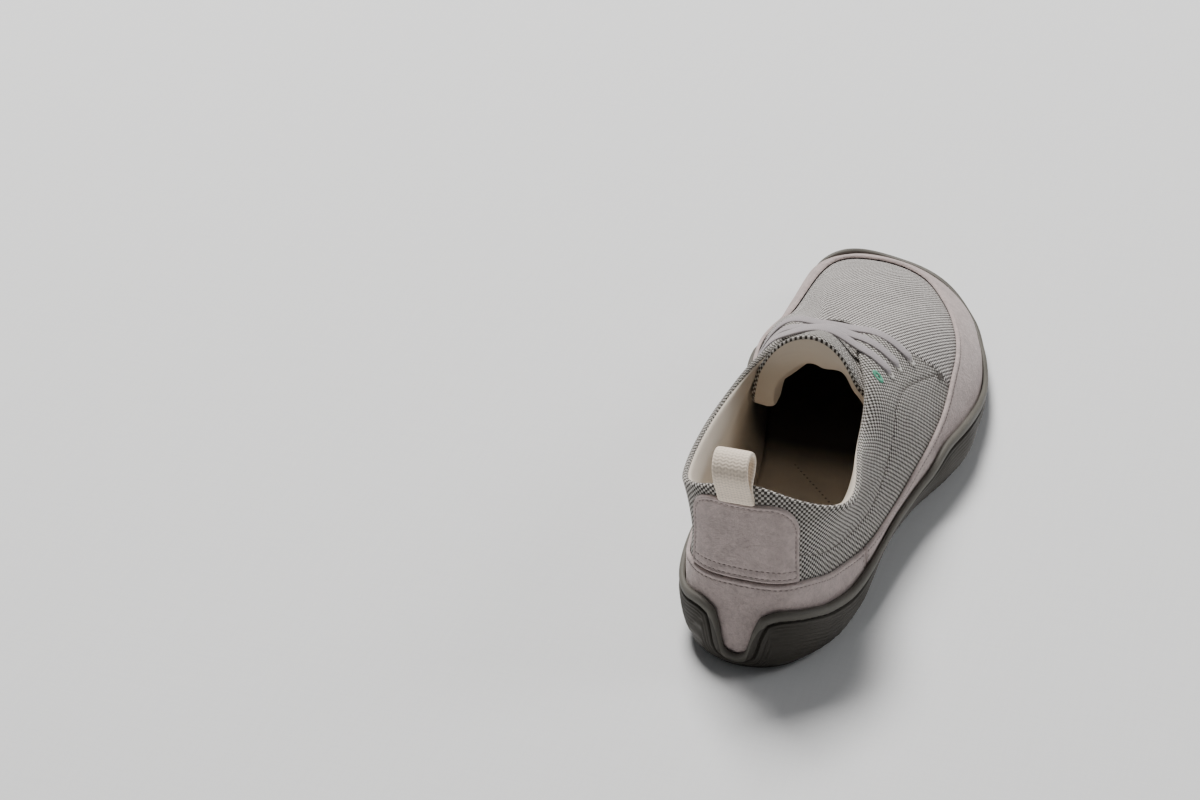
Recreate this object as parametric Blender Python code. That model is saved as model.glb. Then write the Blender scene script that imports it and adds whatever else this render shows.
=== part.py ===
"""A low barefoot shoe for the right foot, standing empty on its sole.

Metres, +Z up, the toe toward +Y and the outer (lateral) side toward +X.

The main form is a last that is described by sections around the foot. Each
section is a rib: it starts at the feather line, where the upper meets the
sole, and ends at the edge of the opening (the collar and the throat). A
periodic spline runs through the sections, and every piece of the shoe is an
offset of that one surface, so the layers follow each other a fixed gap apart.
"""

import math
from dataclasses import dataclass

import bmesh
import bpy
import numpy as np
from mathutils import Vector
from mathutils.bvhtree import BVHTree

MM = 0.001

LENGTH = 0.262
BALL_WIDTH = 0.094
HEEL_HEIGHT = 0.0733
INSTEP_HEIGHT = 0.081

GAP = 0.35 * MM
UPPER_WALL = 2.0 * MM
SUEDE = 1.2 * MM
SUEDE_INNER = GAP + 0.05 * MM
SUEDE_OUTER = SUEDE_INNER + SUEDE
FLANGE_INNER = SUEDE_OUTER + GAP
FLANGE_OUTER = FLANGE_INNER + 1.9 * MM
PLATE_TOP = 4.0 * MM
FEATHER = PLATE_TOP + GAP


@dataclass(frozen=True)
class Section:
    """One rib of the last.

    out_x and top_x are shares of half the ball width, out_y and top_y shares
    of the length, top_z a share of the heel height. The bulge and the toe
    spring are in millimetres, and the other four columns are shares of the
    rib's own run and rise.
    """

    name: str
    out_x: float
    out_y: float
    top_x: float
    top_y: float
    top_z: float
    bulge: float
    shoulder_in: float
    shoulder_up: float
    crown_in: float
    crown_up: float
    spring: float


# The sections go round from the heel along the outer side to the toe and back.
#            name          out_x    out_y    top_x    top_y   top_z  bulge sh_in sh_up cr_in cr_up spring
SECTIONS = (
    Section("heel", 0.000, 0.0363, -0.011, 0.0332, 1.000, 4.3, -0.10, 0.47, 0.10, 0.81, 0.0),
    Section("outer_heel", 0.266, 0.0458, 0.303, 0.0474, 0.936, 4.7, -0.10, 0.46, 0.10, 0.80, 0.0),
    Section("outer_rear", 0.456, 0.1239, 0.672, 0.1136, 0.784, 5.3, -0.10, 0.45, 0.10, 0.80, 0.0),
    Section("outer_ankle", 0.601, 0.2231, 0.615, 0.2326, 0.760, 6.1, -0.10, 0.44, 0.10, 0.80, 0.0),
    Section("outer_waist", 0.676, 0.3258, 0.528, 0.3122, 0.775, 6.7, -0.01, 0.47, 0.30, 0.85, 0.0),
    Section("outer_throat", 0.757, 0.4273, 0.457, 0.3760, 0.873, 7.3, 0.07, 0.52, 0.50, 0.90, 0.0),
    Section("outer_middle", 0.843, 0.5310, 0.272, 0.4542, 0.903, 7.2, 0.12, 0.56, 0.55, 0.92, 0.0),
    Section("outer_ball", 0.931, 0.6683, 0.179, 0.5115, 0.846, 5.6, 0.15, 0.58, 0.56, 0.94, 0.4),
    Section("outer_toes", 0.846, 0.7958, 0.128, 0.5420, 0.813, 4.6, 0.14, 0.52, 0.54, 0.90, 2.0),
    Section("outer_front", 0.584, 0.8984, 0.081, 0.5588, 0.797, 4.8, 0.12, 0.43, 0.52, 0.82, 4.6),
    Section("toe_outer", 0.195, 0.9615, 0.030, 0.5664, 0.789, 4.3, 0.08, 0.385, 0.48, 0.765, 8.3),
    Section("toe", -0.210, 0.9798, -0.019, 0.5687, 0.787, 4.9, 0.05, 0.32, 0.44, 0.73, 9.9),
    Section("toe_inner", -0.526, 0.9645, -0.070, 0.5664, 0.790, 3.1, 0.04, 0.30, 0.43, 0.725, 9.8),
    Section("inner_front", -0.643, 0.9016, -0.115, 0.5588, 0.798, 4.3, 0.10, 0.425, 0.48, 0.86, 3.4),
    Section("inner_toes", -0.741, 0.8066, -0.162, 0.5420, 0.816, 3.4, 0.12, 0.43, 0.52, 0.81, 1.1),
    Section("inner_ball", -0.779, 0.6934, -0.213, 0.5115, 0.849, 5.5, 0.14, 0.58, 0.55, 0.94, 0.5),
    Section("inner_middle", -0.661, 0.5644, -0.298, 0.4542, 0.907, 6.5, 0.12, 0.56, 0.55, 0.92, 0.0),
    Section("inner_throat", -0.532, 0.4427, -0.457, 0.3817, 0.900, 7.0, 0.08, 0.52, 0.50, 0.90, 0.0),
    Section("inner_waist", -0.479, 0.3321, -0.583, 0.3282, 0.819, 6.5, 0.00, 0.48, 0.30, 0.85, 0.0),
    Section("inner_ankle", -0.468, 0.2290, -0.651, 0.2385, 0.786, 6.0, -0.10, 0.45, 0.10, 0.80, 0.0),
    Section("inner_rear", -0.436, 0.1260, -0.609, 0.1202, 0.819, 5.5, -0.10, 0.45, 0.10, 0.80, 0.0),
    Section("inner_heel", -0.245, 0.0477, -0.351, 0.0458, 0.930, 4.9, -0.10, 0.46, 0.10, 0.80, 0.0),
)

# Height in millimetres of the sole's wavy top edge, by share of the way round.
SOLE_EDGE = (
    (0.0000, 6.8),
    (0.0045, 8.5),
    (0.0085, 19.0),
    (0.0120, 24.0),
    (0.0200, 26.0),
    (0.0310, 24.5),
    (0.0520, 20.0),
    (0.0800, 17.0),
    (0.1100, 17.5),
    (0.1600, 18.5),
    (0.2100, 19.0),
    (0.2450, 22.5),
    (0.2750, 21.0),
    (0.3200, 15.5),
    (0.3800, 10.5),
    (0.4340, 12.0),
    (0.4800, 19.4),
    (0.5130, 21.3),
    (0.5400, 24.0),
    (0.5720, 13.0),
    (0.6150, 11.0),
    (0.6600, 19.0),
    (0.6850, 20.5),
    (0.7150, 14.0),
    (0.7450, 8.0),
    (0.7950, 6.8),
    (0.8200, 9.0),
    (0.8500, 18.0),
    (0.8900, 22.0),
    (0.9480, 23.5),
    (0.9690, 24.5),
    (0.9800, 26.0),
    (0.9880, 24.0),
    (0.9915, 19.0),
    (0.9955, 8.5),
)

# Height in millimetres of the suede band's top edge.
BAND_EDGE = (
    (0.0000, 36.3),
    (0.0310, 34.7),
    (0.0640, 27.5),
    (0.1040, 24.0),
    (0.1590, 23.0),
    (0.2070, 26.0),
    (0.2560, 28.8),
    (0.3200, 33.3),
    (0.3810, 33.6),
    (0.4340, 31.5),
    (0.4780, 28.2),
    (0.5130, 28.4),
    (0.5410, 26.3),
    (0.5720, 24.4),
    (0.6170, 25.6),
    (0.6700, 29.5),
    (0.7320, 32.5),
    (0.7900, 32.0),
    (0.8420, 29.8),
    (0.8900, 28.3),
    (0.9400, 29.5),
    (0.9690, 34.7),
)

# How far the foot of the form stands out from the ribs, or in where it is less
# than 0, as a share of half the ball width. It fades out up the rib: the heel
# and the toe stand wide, and the waist on the outer side tucks in.
FLARE = (
    (0.000, 0.102),
    (0.030, 0.070),
    (0.060, 0.120),
    (0.085, 0.084),
    (0.105, 0.010),
    (0.125, -0.075),
    (0.145, -0.108),
    (0.180, -0.075),
    (0.200, -0.052),
    (0.220, -0.007),
    (0.245, 0.053),
    (0.275, 0.088),
    (0.310, 0.046),
    (0.350, 0.035),
    (0.400, 0.040),
    (0.440, 0.095),
    (0.470, 0.115),
    (0.500, 0.115),
    (0.530, 0.160),
    (0.560, 0.120),
    (0.590, 0.095),
    (0.630, 0.030),
    (0.700, -0.020),
    (0.940, -0.040),
    (0.970, 0.020),
)
FLARE_TOP = 0.45

# The stations are the shares of the way round at which ribs are cut.
NEAR_HEEL = (0.0, 0.0045, 0.0085, 0.0120, 0.0155, 0.0200, 0.0255, 0.0310, 0.0410, 0.0520)
REST_FROM = 0.064
REST_COUNT = 35

UPPER_STEPS = (0.0, 0.07, 0.16, 0.26, 0.37, 0.48, 0.59, 0.70, 0.80, 0.90, 1.0)

JOINT_GAP = 0.0008

EYELETS = ((23.1, 107.3), (25.2, 116.9), (26.1, 126.6), (28.5, 138.7))
EYELET_SHIFT = -1.2
EYELET_SIDES = 10


def smooth_ring(knots):
    """Makes a periodic curve with no overshoot through (share, value) knots.

    Args:
        knots: Pairs of a share of the way round and a value, in order.

    Returns:
        A function from an array of shares to an array of values.
    """
    at = np.array([k[0] for k in knots])
    value = np.array([k[1] for k in knots])
    step = np.diff(np.append(at, at[0] + 1.0))
    slope = (np.roll(value, -1) - value) / step
    before = np.roll(slope, 1)
    both = np.where(before * slope > 0, 2 * before * slope, 0.0)
    tangent = both / np.where(before + slope == 0, 1.0, before + slope)

    def curve(t):
        t = np.mod(t, 1.0)
        i = np.clip(np.searchsorted(at, t, side="right") - 1, 0, len(at) - 1)
        j = (i + 1) % len(at)
        u = (t - at[i]) / step[i]
        rise = (3 - 2 * u) * u * u
        first = u * (1 - u) ** 2 * step[i] * tangent[i]
        last = u * u * (u - 1) * step[i] * tangent[j]
        return value[i] * (1 - rise) + value[j] * rise + first + last

    return curve


class Last:
    """The form of the shoe: a surface with the coordinates (t, s).

    t runs round the foot from 0 to 1, and s runs up each rib from the
    feather line at 0 to the edge of the opening at 1.
    """

    def __init__(self, sections):
        half = BALL_WIDTH / 2
        self.rows = np.array(
            [
                (
                    r.out_x * half,
                    r.out_y * LENGTH,
                    r.top_x * half,
                    r.top_y * LENGTH,
                    r.top_z * HEEL_HEIGHT,
                    r.bulge * MM,
                    r.shoulder_in,
                    r.shoulder_up,
                    r.crown_in,
                    r.crown_up,
                    r.spring * MM,
                )
                for r in sections
            ]
        )
        outline = self.rows[:, :2]
        reach = np.linalg.norm(np.roll(outline, -1, 0) - outline, axis=1)
        self.at = np.concatenate([[0.0], np.cumsum(reach)]) / reach.sum()
        self.bend = self._bends()

    def _bends(self):
        """The second derivatives of the periodic cubic spline."""
        step = np.diff(self.at)
        count = len(self.rows)
        left = np.zeros((count, count))
        right = np.zeros_like(self.rows)
        for i in range(count):
            after = (i + 1) % count
            left[i, i - 1] += step[i - 1] / 6
            left[i, i] += (step[i - 1] + step[i]) / 3
            left[i, after] += step[i] / 6
            right[i] = (self.rows[after] - self.rows[i]) / step[i]
            right[i] -= (self.rows[i] - self.rows[i - 1]) / step[i - 1]
        return np.linalg.solve(left, right)

    def columns(self, t):
        """The table's columns at the shares t, as an array of rows."""
        t = np.mod(np.asarray(t, float), 1.0)
        count = len(self.rows)
        i = np.clip(np.searchsorted(self.at, t, side="right") - 1, 0, count - 1)
        j = (i + 1) % count
        step = (self.at[i + 1] - self.at[i])[:, None]
        a = (self.at[i + 1] - t)[:, None] / step
        b = 1 - a
        curve = (a**3 - a) * self.bend[i] + (b**3 - b) * self.bend[j]
        return a * self.rows[i] + b * self.rows[j] + curve * step**2 / 6

    def outward(self, t):
        """The plan direction away from the foot at the feather line."""
        nudge = 1e-4
        d = (self.columns(t + nudge) - self.columns(t - nudge))[:, :2]
        out = np.stack([d[:, 1], -d[:, 0], 0 * d[:, 0]], 1)
        return out / np.linalg.norm(out, axis=1)[:, None]

    def spring(self, t):
        """The toe spring at the shares t, which is never below the floor."""
        return np.maximum(self.columns(t)[:, 10], 0.0)

    def ribs(self, t, s):
        """Points of the surface.

        Args:
            t: Array of shares of the way round.
            s: Array of shares of the way up, of the same length.

        Returns:
            An array of points.
        """
        t = np.asarray(t, float)
        s = np.asarray(s, float)[:, None]
        c = self.columns(t)
        up = np.array([0.0, 0.0, 1.0])
        foot = np.stack([c[:, 0], c[:, 1], FEATHER + np.maximum(c[:, 10], 0.0)], 1)
        top = c[:, 2:5]
        out = self.outward(t)
        run = (top - foot) * (1, 1, 0)
        rise = (top - foot)[:, 2:3]
        bulge = c[:, 5:6]
        p1 = foot + out * bulge * 1.6 + up * rise * 0.14
        p2 = foot + out * bulge * 0.8 * (1 - c[:, 6:7])
        p2 = p2 + run * np.clip(c[:, 6:7], 0, None) + up * rise * c[:, 7:8]
        p3 = foot + run * c[:, 8:9] + up * rise * c[:, 9:10]
        q = 1 - s
        low = q**4 * foot + 4 * q**3 * s * p1 + 6 * q * q * s * s * p2
        fade = np.clip(1 - (s / FLARE_TOP) ** 2, 0, 1) ** 2
        flare = out * FLARE_SHARE(t)[:, None] * fade * BALL_WIDTH / 2
        return low + 4 * q * s**3 * p3 + s**4 * top + flare

    def normals(self, t, s):
        """The unit normals that point away from the foot."""
        nudge = 1e-4
        low = np.clip(s - nudge, 0, 1)
        high = np.clip(s + nudge, 0, 1)
        along = self.ribs(t + nudge, s) - self.ribs(t - nudge, s)
        upward = self.ribs(t, high) - self.ribs(t, low)
        n = np.cross(along, upward)
        return n / np.linalg.norm(n, axis=1)[:, None]

    def skin(self, t, s, offset=0.0):
        """Points of the surface that is offset outward by offset metres."""
        t = np.asarray(t, float)
        s = np.broadcast_to(np.asarray(s, float), t.shape)
        off = np.broadcast_to(np.asarray(offset, float), t.shape)
        return self.ribs(t, s) + self.normals(t, s) * off[:, None]

    def share_at(self, t, height, offset=0.0):
        """The s at which the offset surface first reaches each height."""
        s = np.linspace(0.0, 1.0, 161)
        found = np.empty(len(t))
        for i, (share, z) in enumerate(zip(t, height)):
            level = self.skin(np.full(len(s), share), s, offset)[:, 2]
            level = np.maximum.accumulate(level)
            found[i] = np.interp(z, level, s)
        return found

    def locate(self, x, y, t, s):
        """The (t, s) whose point stands over (x, y), from a first guess."""
        here = np.array([t, s])
        for _ in range(30):
            p = self.ribs(here[:1], here[1:])[0, :2]
            dt = (self.ribs(here[:1] + 1e-4, here[1:])[0, :2] - p) / 1e-4
            ds = (self.ribs(here[:1], here[1:] + 1e-4)[0, :2] - p) / 1e-4
            move = np.linalg.solve(np.stack([dt, ds], 1), np.array([x, y]) - p)
            here = here + np.clip(move, -0.05, 0.05)
        return here


class Shell:
    """The points and faces of one closed solid, gathered loop by loop."""

    def __init__(self):
        self.points = []
        self.faces = []

    def add(self, rows):
        """Adds points and returns their indices."""
        first = len(self.points)
        self.points.extend(tuple(float(v) for v in row) for row in rows)
        return list(range(first, len(self.points)))

    def bridge(self, a, b, closed=True):
        """Joins two rows of points with quads."""
        count = len(a)
        for i in range(count if closed else count - 1):
            j = (i + 1) % count
            self.faces.append((a[i], a[j], b[j], b[i]))

    def grid(self, rows, closed=True):
        """Adds rows of points, joins each to the next and returns them all."""
        loops = [self.add(row) for row in rows]
        for a, b in zip(loops[:-1], loops[1:]):
            self.bridge(a, b, closed)
        return loops

    def slab(self, outer, inner):
        """A sheet with thickness, from two open grids of the same size."""
        top = self.grid(outer, False)
        under = self.grid(inner, False)
        self.bridge(top[0], under[0], False)
        self.bridge(top[-1], under[-1], False)
        self.bridge([r[0] for r in top], [r[0] for r in under], False)
        self.bridge([r[-1] for r in top], [r[-1] for r in under], False)

    def fill(self, loop, cells):
        """Closes a loop with strips that run across it.

        Args:
            loop: Indices of an even number of points, heel first.
            cells: How many quads each strip has.
        """
        half = len(loop) // 2
        share = np.linspace(0, 1, cells + 1)[1:-1, None]
        lines = []
        for i in range(1, half):
            a = np.array(self.points[loop[i]])
            b = np.array(self.points[loop[-i]])
            inside = self.add(a * (1 - share) + b * share)
            lines.append([loop[i], *inside, loop[-i]])
        for a, b in zip(lines[:-1], lines[1:]):
            self.bridge(a, b, False)
        for tip, line in ((loop[0], lines[0]), (loop[half], lines[-1])):
            for i in range(cells):
                self.faces.append((tip, line[i], line[i + 1]))

    def build(self, name):
        """Makes the object, with its faces turned outward."""
        mesh = bpy.data.meshes.new(name)
        mesh.from_pydata(self.points, [], self.faces)
        work = bmesh.new()
        work.from_mesh(mesh)
        bmesh.ops.triangulate(work, faces=work.faces)
        bmesh.ops.recalc_face_normals(work, faces=work.faces)
        work.to_mesh(mesh)
        work.free()
        obj = bpy.data.objects.new(name, mesh)
        bpy.context.scene.collection.objects.link(obj)
        return obj


def stations():
    """The shares of the way round, which mirror each other about the heel."""
    half = np.concatenate([NEAR_HEEL, np.linspace(REST_FROM, 0.5, REST_COUNT)])
    return np.concatenate([half, 1 - half[-2:0:-1]])


FLARE_SHARE = smooth_ring(FLARE)
LAST = Last(SECTIONS)
AROUND = stations()
SOLE_HEIGHT = smooth_ring(SOLE_EDGE)
BAND_HEIGHT = smooth_ring(BAND_EDGE)


def sole_height(t):
    """The height in metres of the sole's edge, toe spring included."""
    return SOLE_HEIGHT(t) * MM


def band_height(t):
    """The height in metres of the suede band's top edge."""
    return BAND_HEIGHT(t) * MM


def make_upper():
    """The woven upper: one hollow wall, open at the top and underneath."""
    shell = Shell()
    outer = [LAST.skin(AROUND, s) for s in UPPER_STEPS]
    inner = [LAST.skin(AROUND, s, -UPPER_WALL) for s in UPPER_STEPS]
    for row in inner:
        row[:, 2] = np.maximum(row[:, 2], FEATHER + LAST.spring(AROUND))
    a = shell.grid(outer)
    b = shell.grid(inner)
    shell.bridge(a[0], b[0])
    shell.bridge(a[-1], b[-1])
    return shell.build("upper")


def eyelet_places():
    """The (t, s) of every eyelet, outer side first, from the back forward."""
    places = []
    for side, guess in ((1, 0.24), (-1, 0.75)):
        for x, y in EYELETS:
            x = side * x + (EYELET_SHIFT if side < 0 else 0.0)
            places.append((side, LAST.locate(x * MM, y * MM, guess, 0.8)))
    return places


def cut_eyelets(upper):
    """Cuts the stitched oval eyelets through the upper."""
    for number, (side, (t, s)) in enumerate(eyelet_places()):
        point = LAST.ribs(np.array([t]), np.array([s]))[0]
        normal = LAST.normals(np.array([t]), np.array([s]))[0]
        across = np.cross(normal, (0, 1, 0))
        across /= np.linalg.norm(across)
        along = np.cross(normal, across)
        turn = np.linspace(0, 2 * math.pi, EYELET_SIDES, endpoint=False)[:, None]
        oval = np.cos(turn) * across * 2.3 * MM + np.sin(turn) * along * 1.4 * MM
        cutter = Shell()
        top = cutter.add(point + oval + normal * 3 * MM)
        low = cutter.add(point + oval - normal * 5 * MM)
        cutter.bridge(top, low)
        cutter.faces.append(tuple(top))
        cutter.faces.append(tuple(low))
        tool = cutter.build(f"eyelet_cutter_{number}")
        tool.hide_render = True
        cut = upper.modifiers.new(f"eyelet_{number}", "BOOLEAN")
        cut.operation = "DIFFERENCE"
        cut.solver = "EXACT"
        cut.object = tool


def make_outsole():
    """The rubber sole: a flat plate whose edge is drawn up round the upper."""
    shell = Shell()
    out = LAST.outward(AROUND)
    spring = LAST.spring(AROUND)
    foot = LAST.ribs(AROUND, np.zeros(len(AROUND)))
    top = sole_height(AROUND)
    edge = LAST.share_at(AROUND, top, FLANGE_OUTER)
    low = LAST.skin(AROUND, 0 * AROUND, FLANGE_OUTER)

    def ring(reach, height):
        row = foot + out * reach * MM
        row[:, 2] = height * MM + spring
        return row

    rows = [ring(-7.0, 0.0), ring(-1.2, 0.0), ring(1.6, 0.55)]
    low[:, 2] = np.clip(low[:, 2], spring + 1.5 * MM, spring + 2.2 * MM)
    rows.append(low)
    tall = np.clip((top - spring - 5 * MM) / (12 * MM), 0.15, 1.0)
    wall = ((0.30, 0.35), (0.62, 0.25))
    for share, more in wall:
        rows.append(LAST.skin(AROUND, edge * share, FLANGE_OUTER + more * MM))
    for below, offset in ((4.6, 0.1), (4.0, -0.6), (3.2, -0.6), (2.7, 0.15), (1.0, 0.15)):
        level = LAST.share_at(AROUND, top - below * tall * MM, FLANGE_OUTER)
        rows.append(LAST.skin(AROUND, level, FLANGE_OUTER + offset * MM))
    for offset in (FLANGE_OUTER - 0.7 * MM, FLANGE_INNER):
        level = LAST.share_at(AROUND, top, offset)
        rows.append(LAST.skin(AROUND, level, offset))
    level = LAST.share_at(AROUND, top, FLANGE_INNER)
    for share in (0.76, 0.52, 0.28, 0.08):
        rows.append(LAST.skin(AROUND, level * share, FLANGE_INNER))
    rows.append(ring(0.6, PLATE_TOP / MM))
    rows.append(ring(-4.0, PLATE_TOP / MM))
    loops = shell.grid(rows)
    shell.fill(loops[0], 3)
    shell.fill(loops[-1], 3)
    return shell.build("outsole")


def make_insole():
    """The removable insole, lying on the sole plate inside the upper."""
    shell = Shell()
    out = LAST.outward(AROUND)
    spring = LAST.spring(AROUND)
    foot = LAST.ribs(AROUND, np.zeros(len(AROUND)))
    rows = []
    for reach, height in ((-3.4, 0.0), (-2.6, 0.5), (-2.4, 1.8), (-3.2, 2.4)):
        row = foot + out * reach * MM
        row[:, 2] = FEATHER + height * MM + spring
        rows.append(row)
    loops = shell.grid(rows)
    shell.fill(loops[0], 2)
    shell.fill(loops[-1], 2)
    return shell.build("insole")


def suede(name, t):
    """One length of the suede band, along the stations t."""
    low = LAST.share_at(t, 6.0 * MM + LAST.spring(t), SUEDE_OUTER)
    high = LAST.share_at(t, band_height(t), SUEDE_OUTER)
    steps = (0.0, 0.2, 0.4, 0.6, 0.8, 1.0)
    shell = Shell()
    shell.slab(
        [LAST.skin(t, low + (high - low) * k, SUEDE_OUTER) for k in steps],
        [LAST.skin(t, low + (high - low) * k, SUEDE_INNER) for k in steps],
    )
    return shell.build(name)


def make_band():
    """The suede band in two lengths, which meet on both sides of the heel."""
    joint = REST_FROM + (0.5 - REST_FROM) / (REST_COUNT - 1) * 3
    front = AROUND[(AROUND > joint + 0.001) & (AROUND < 1 - joint - 0.001)]
    front = np.concatenate([[joint + JOINT_GAP], front, [1 - joint - JOINT_GAP]])
    side = AROUND[AROUND < joint - 0.001]
    rear = np.concatenate([[-joint], -side[:0:-1], side, [joint]])
    suede("foxing_front", front)
    suede("foxing_heel", rear)


PATCH_TOP = 67.0
PATCH_ROUND = 13.0


def make_heel_patch():
    """The suede patch over the back of the heel, with round top corners."""
    t = AROUND[AROUND < 0.0315]
    t = np.concatenate([-t[:0:-1], t])
    reach = np.abs(t) / 0.031
    corner = np.clip((reach - 0.35) / 0.65, 0, 1)
    top = PATCH_TOP - PATCH_ROUND * (1 - np.sqrt(1 - 0.98 * corner**2))
    low = LAST.share_at(t, band_height(t) + 0.45 * MM, SUEDE_OUTER)
    high = LAST.share_at(t, top * MM, SUEDE_OUTER)
    steps = np.linspace(0, 1, 7)
    shell = Shell()
    shell.slab(
        [LAST.skin(t, low + (high - low) * k, SUEDE_OUTER) for k in steps],
        [LAST.skin(t, low + (high - low) * k, SUEDE_INNER) for k in steps],
    )
    return shell.build("heel_patch")


@dataclass(frozen=True)
class Arch:
    """One cross-section of the tongue.

    along is a share of the length, crown a share of the instep height, and
    end_angle is where its sides stop, in degrees over the horizontal.
    """

    along: float
    crown: float
    end_angle: float

    @property
    def y(self):
        """The section's place along the foot, in metres."""
        return self.along * LENGTH

    @property
    def rise(self):
        """The height of the section's top over the axis, in metres."""
        return self.crown * INSTEP_HEIGHT - AXIS_HEIGHT


AXIS_HEIGHT = 40.0 * MM
TONGUE = (
    Arch(0.3740, 1.000, 18.0),
    Arch(0.3855, 0.988, 14.0),
    Arch(0.4046, 0.960, 14.0),
    Arch(0.4275, 0.926, 16.0),
    Arch(0.4542, 0.880, 18.0),
    Arch(0.4847, 0.825, 20.0),
    Arch(0.5153, 0.773, 22.0),
    Arch(0.5458, 0.726, 26.0),
    Arch(0.5763, 0.679, 32.0),
    Arch(0.6069, 0.648, 40.0),
)
TONGUE_CELLS = 18
TONGUE_THICK = 2.4 * MM
TONGUE_CLEAR = 1.2 * MM


class Tunnel:
    """Looks outward from an axis along the foot at surfaces around it."""

    def __init__(self, grids):
        points = []
        faces = []
        for rows in grids:
            first = len(points)
            wide = len(rows[0])
            for row in rows:
                points.extend(Vector(p) for p in row)
            for i in range(len(rows) - 1):
                for j in range(wide):
                    k = (j + 1) % wide
                    a = first + i * wide
                    faces.append((a + j, a + k, a + wide + k, a + wide + j))
        self.tree = BVHTree.FromPolygons(points, faces)

    def radius(self, y, angle):
        """The distance out to the first surface, or None where it is open."""
        start = Vector((0.0, y, AXIS_HEIGHT))
        way = Vector((math.cos(angle), 0.0, math.sin(angle)))
        hit = self.tree.ray_cast(start, way)
        return None if hit[0] is None else hit[3]


def arch_radii(tunnel, y, crown, angles, clear):
    """Radii of a section that stays clear of the upper and spans the throat.

    Args:
        tunnel: The surfaces to stay inside.
        y: The section's place along the foot.
        crown: Height of the section's top over the axis.
        angles: Angles from the outer horizontal, in radians.
        clear: How far inside the surfaces the section stays.

    Returns:
        One radius for each angle.
    """
    fine = np.radians(np.linspace(8, 172, 165))
    seen = [(a, tunnel.radius(y, a)) for a in fine]
    known = [(a, r - clear) for a, r in seen if r is not None]
    middle = math.pi / 2
    outer = [k for k in known if k[0] < middle]
    inner = [k for k in known if k[0] > middle]
    if len(outer) + len(inner) > 160:
        at, r = zip(*known)
        return np.interp(angles, at, r)
    open_from = outer[-1][0]
    open_to = inner[0][0]
    knots = [*outer[:-3:3], outer[-1], (middle, crown), inner[0], *inner[3::3]]
    at = np.array([k[0] for k in knots])
    r = np.array([k[1] for k in knots])
    slope = np.gradient(r, at)
    slope[np.searchsorted(at, middle)] = 0.0
    i = np.clip(np.searchsorted(at, angles, side="right") - 1, 0, len(at) - 2)
    step = at[i + 1] - at[i]
    u = (angles - at[i]) / step
    rise = (3 - 2 * u) * u * u
    bow = u * (1 - u) ** 2 * step * slope[i] + u * u * (u - 1) * step * slope[i + 1]
    full = r[i] * (1 - rise) + r[i + 1] * rise + bow
    inside = (angles > open_from) & (angles < open_to)
    return np.where(inside, full, np.interp(angles, *zip(*known)))


def arch_points(y, angles, radii):
    """Points at the given radii about the axis."""
    x = np.cos(angles) * radii
    z = AXIS_HEIGHT + np.sin(angles) * radii
    return np.stack([x, np.broadcast_to(y, x.shape), z], 1)


def inner_tunnel():
    """The inside of the upper, as the tongue meets it."""
    steps = np.linspace(0.3, 1.0, 15)
    return Tunnel([[LAST.skin(AROUND, s, -UPPER_WALL) for s in steps]])


def tongue_rows(extra):
    """Rows of points along the tongue, extra metres inside its outer face."""
    tunnel = inner_tunnel()
    rows = []
    for arch in TONGUE:
        low = math.radians(arch.end_angle)
        angles = np.linspace(low, math.pi - low, TONGUE_CELLS + 1)
        radii = arch_radii(tunnel, arch.y, arch.rise, angles, TONGUE_CLEAR)
        rows.append(arch_points(arch.y, angles, radii - extra))
    return rows


def make_tongue():
    """The tongue: a wide saddle under the throat, with its outer face up."""
    shell = Shell()
    shell.slab(tongue_rows(0.0), tongue_rows(TONGUE_THICK))
    return shell.build("tongue")


@dataclass(frozen=True)
class LaceBar:
    """One visible bar of the lace, between two eyelets."""

    name: str
    outer_eyelet: int
    inner_eyelet: int


LACE_BARS = (
    LaceBar("lace_bar_back", 1, 5),
    LaceBar("lace_bar_middle", 2, 6),
    LaceBar("lace_bar_front", 3, 7),
)
LACE_WIDTH = 6.0 * MM
LACE_THICK = 1.3 * MM
LACE_CELLS = 16


def make_laces():
    """The bars of the flat lace, resting on the quarters and the tongue."""
    places = eyelet_places()
    steps = np.linspace(0.5, 1.0, 11)
    quarters = Tunnel([[LAST.skin(AROUND, s) for s in steps]])
    crowns = np.array([(a.y, a.rise) for a in TONGUE])
    for bar in LACE_BARS:
        ends = []
        for place in (bar.outer_eyelet, bar.inner_eyelet):
            t, s = places[place][1]
            ends.append(LAST.ribs(np.array([t]), np.array([s]))[0])
        turn = [math.atan2(e[2] - AXIS_HEIGHT, e[0]) for e in ends]
        angles = np.linspace(turn[0] + 0.04, turn[1] - 0.04, LACE_CELLS + 1)
        share = np.linspace(0, 1, LACE_CELLS + 1)
        y = ends[0][1] * (1 - share) + ends[1][1] * share
        rows = [[], [], [], []]
        for a, place_y in zip(angles, y):
            edges = []
            for side in (-0.5, 0.5):
                here = place_y + side * LACE_WIDTH
                crown = np.interp(here, crowns[:, 0], crowns[:, 1])
                edges.append(arch_radii(quarters, here, crown, np.array([a]), 0.0)[0])
            for side, radius in zip((-0.5, 0.5), edges):
                low = radius + 0.7 * MM
                here = place_y + side * LACE_WIDTH
                column = 0 if side < 0 else 2
                pair = (low, low + LACE_THICK)
                for step, r in enumerate(pair):
                    rows[column + step].append(arch_points(here, np.array([a]), np.array([r]))[0])
        shell = Shell()
        shell.slab([rows[1], rows[3]], [rows[0], rows[2]])
        shell.build(bar.name)


LOOP_WIDTH = 16.0 * MM
LOOP_SHIFT = -1.5 * MM
LOOP_THICK = 1.2 * MM
LOOP_BACK = 1.9 * MM
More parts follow.
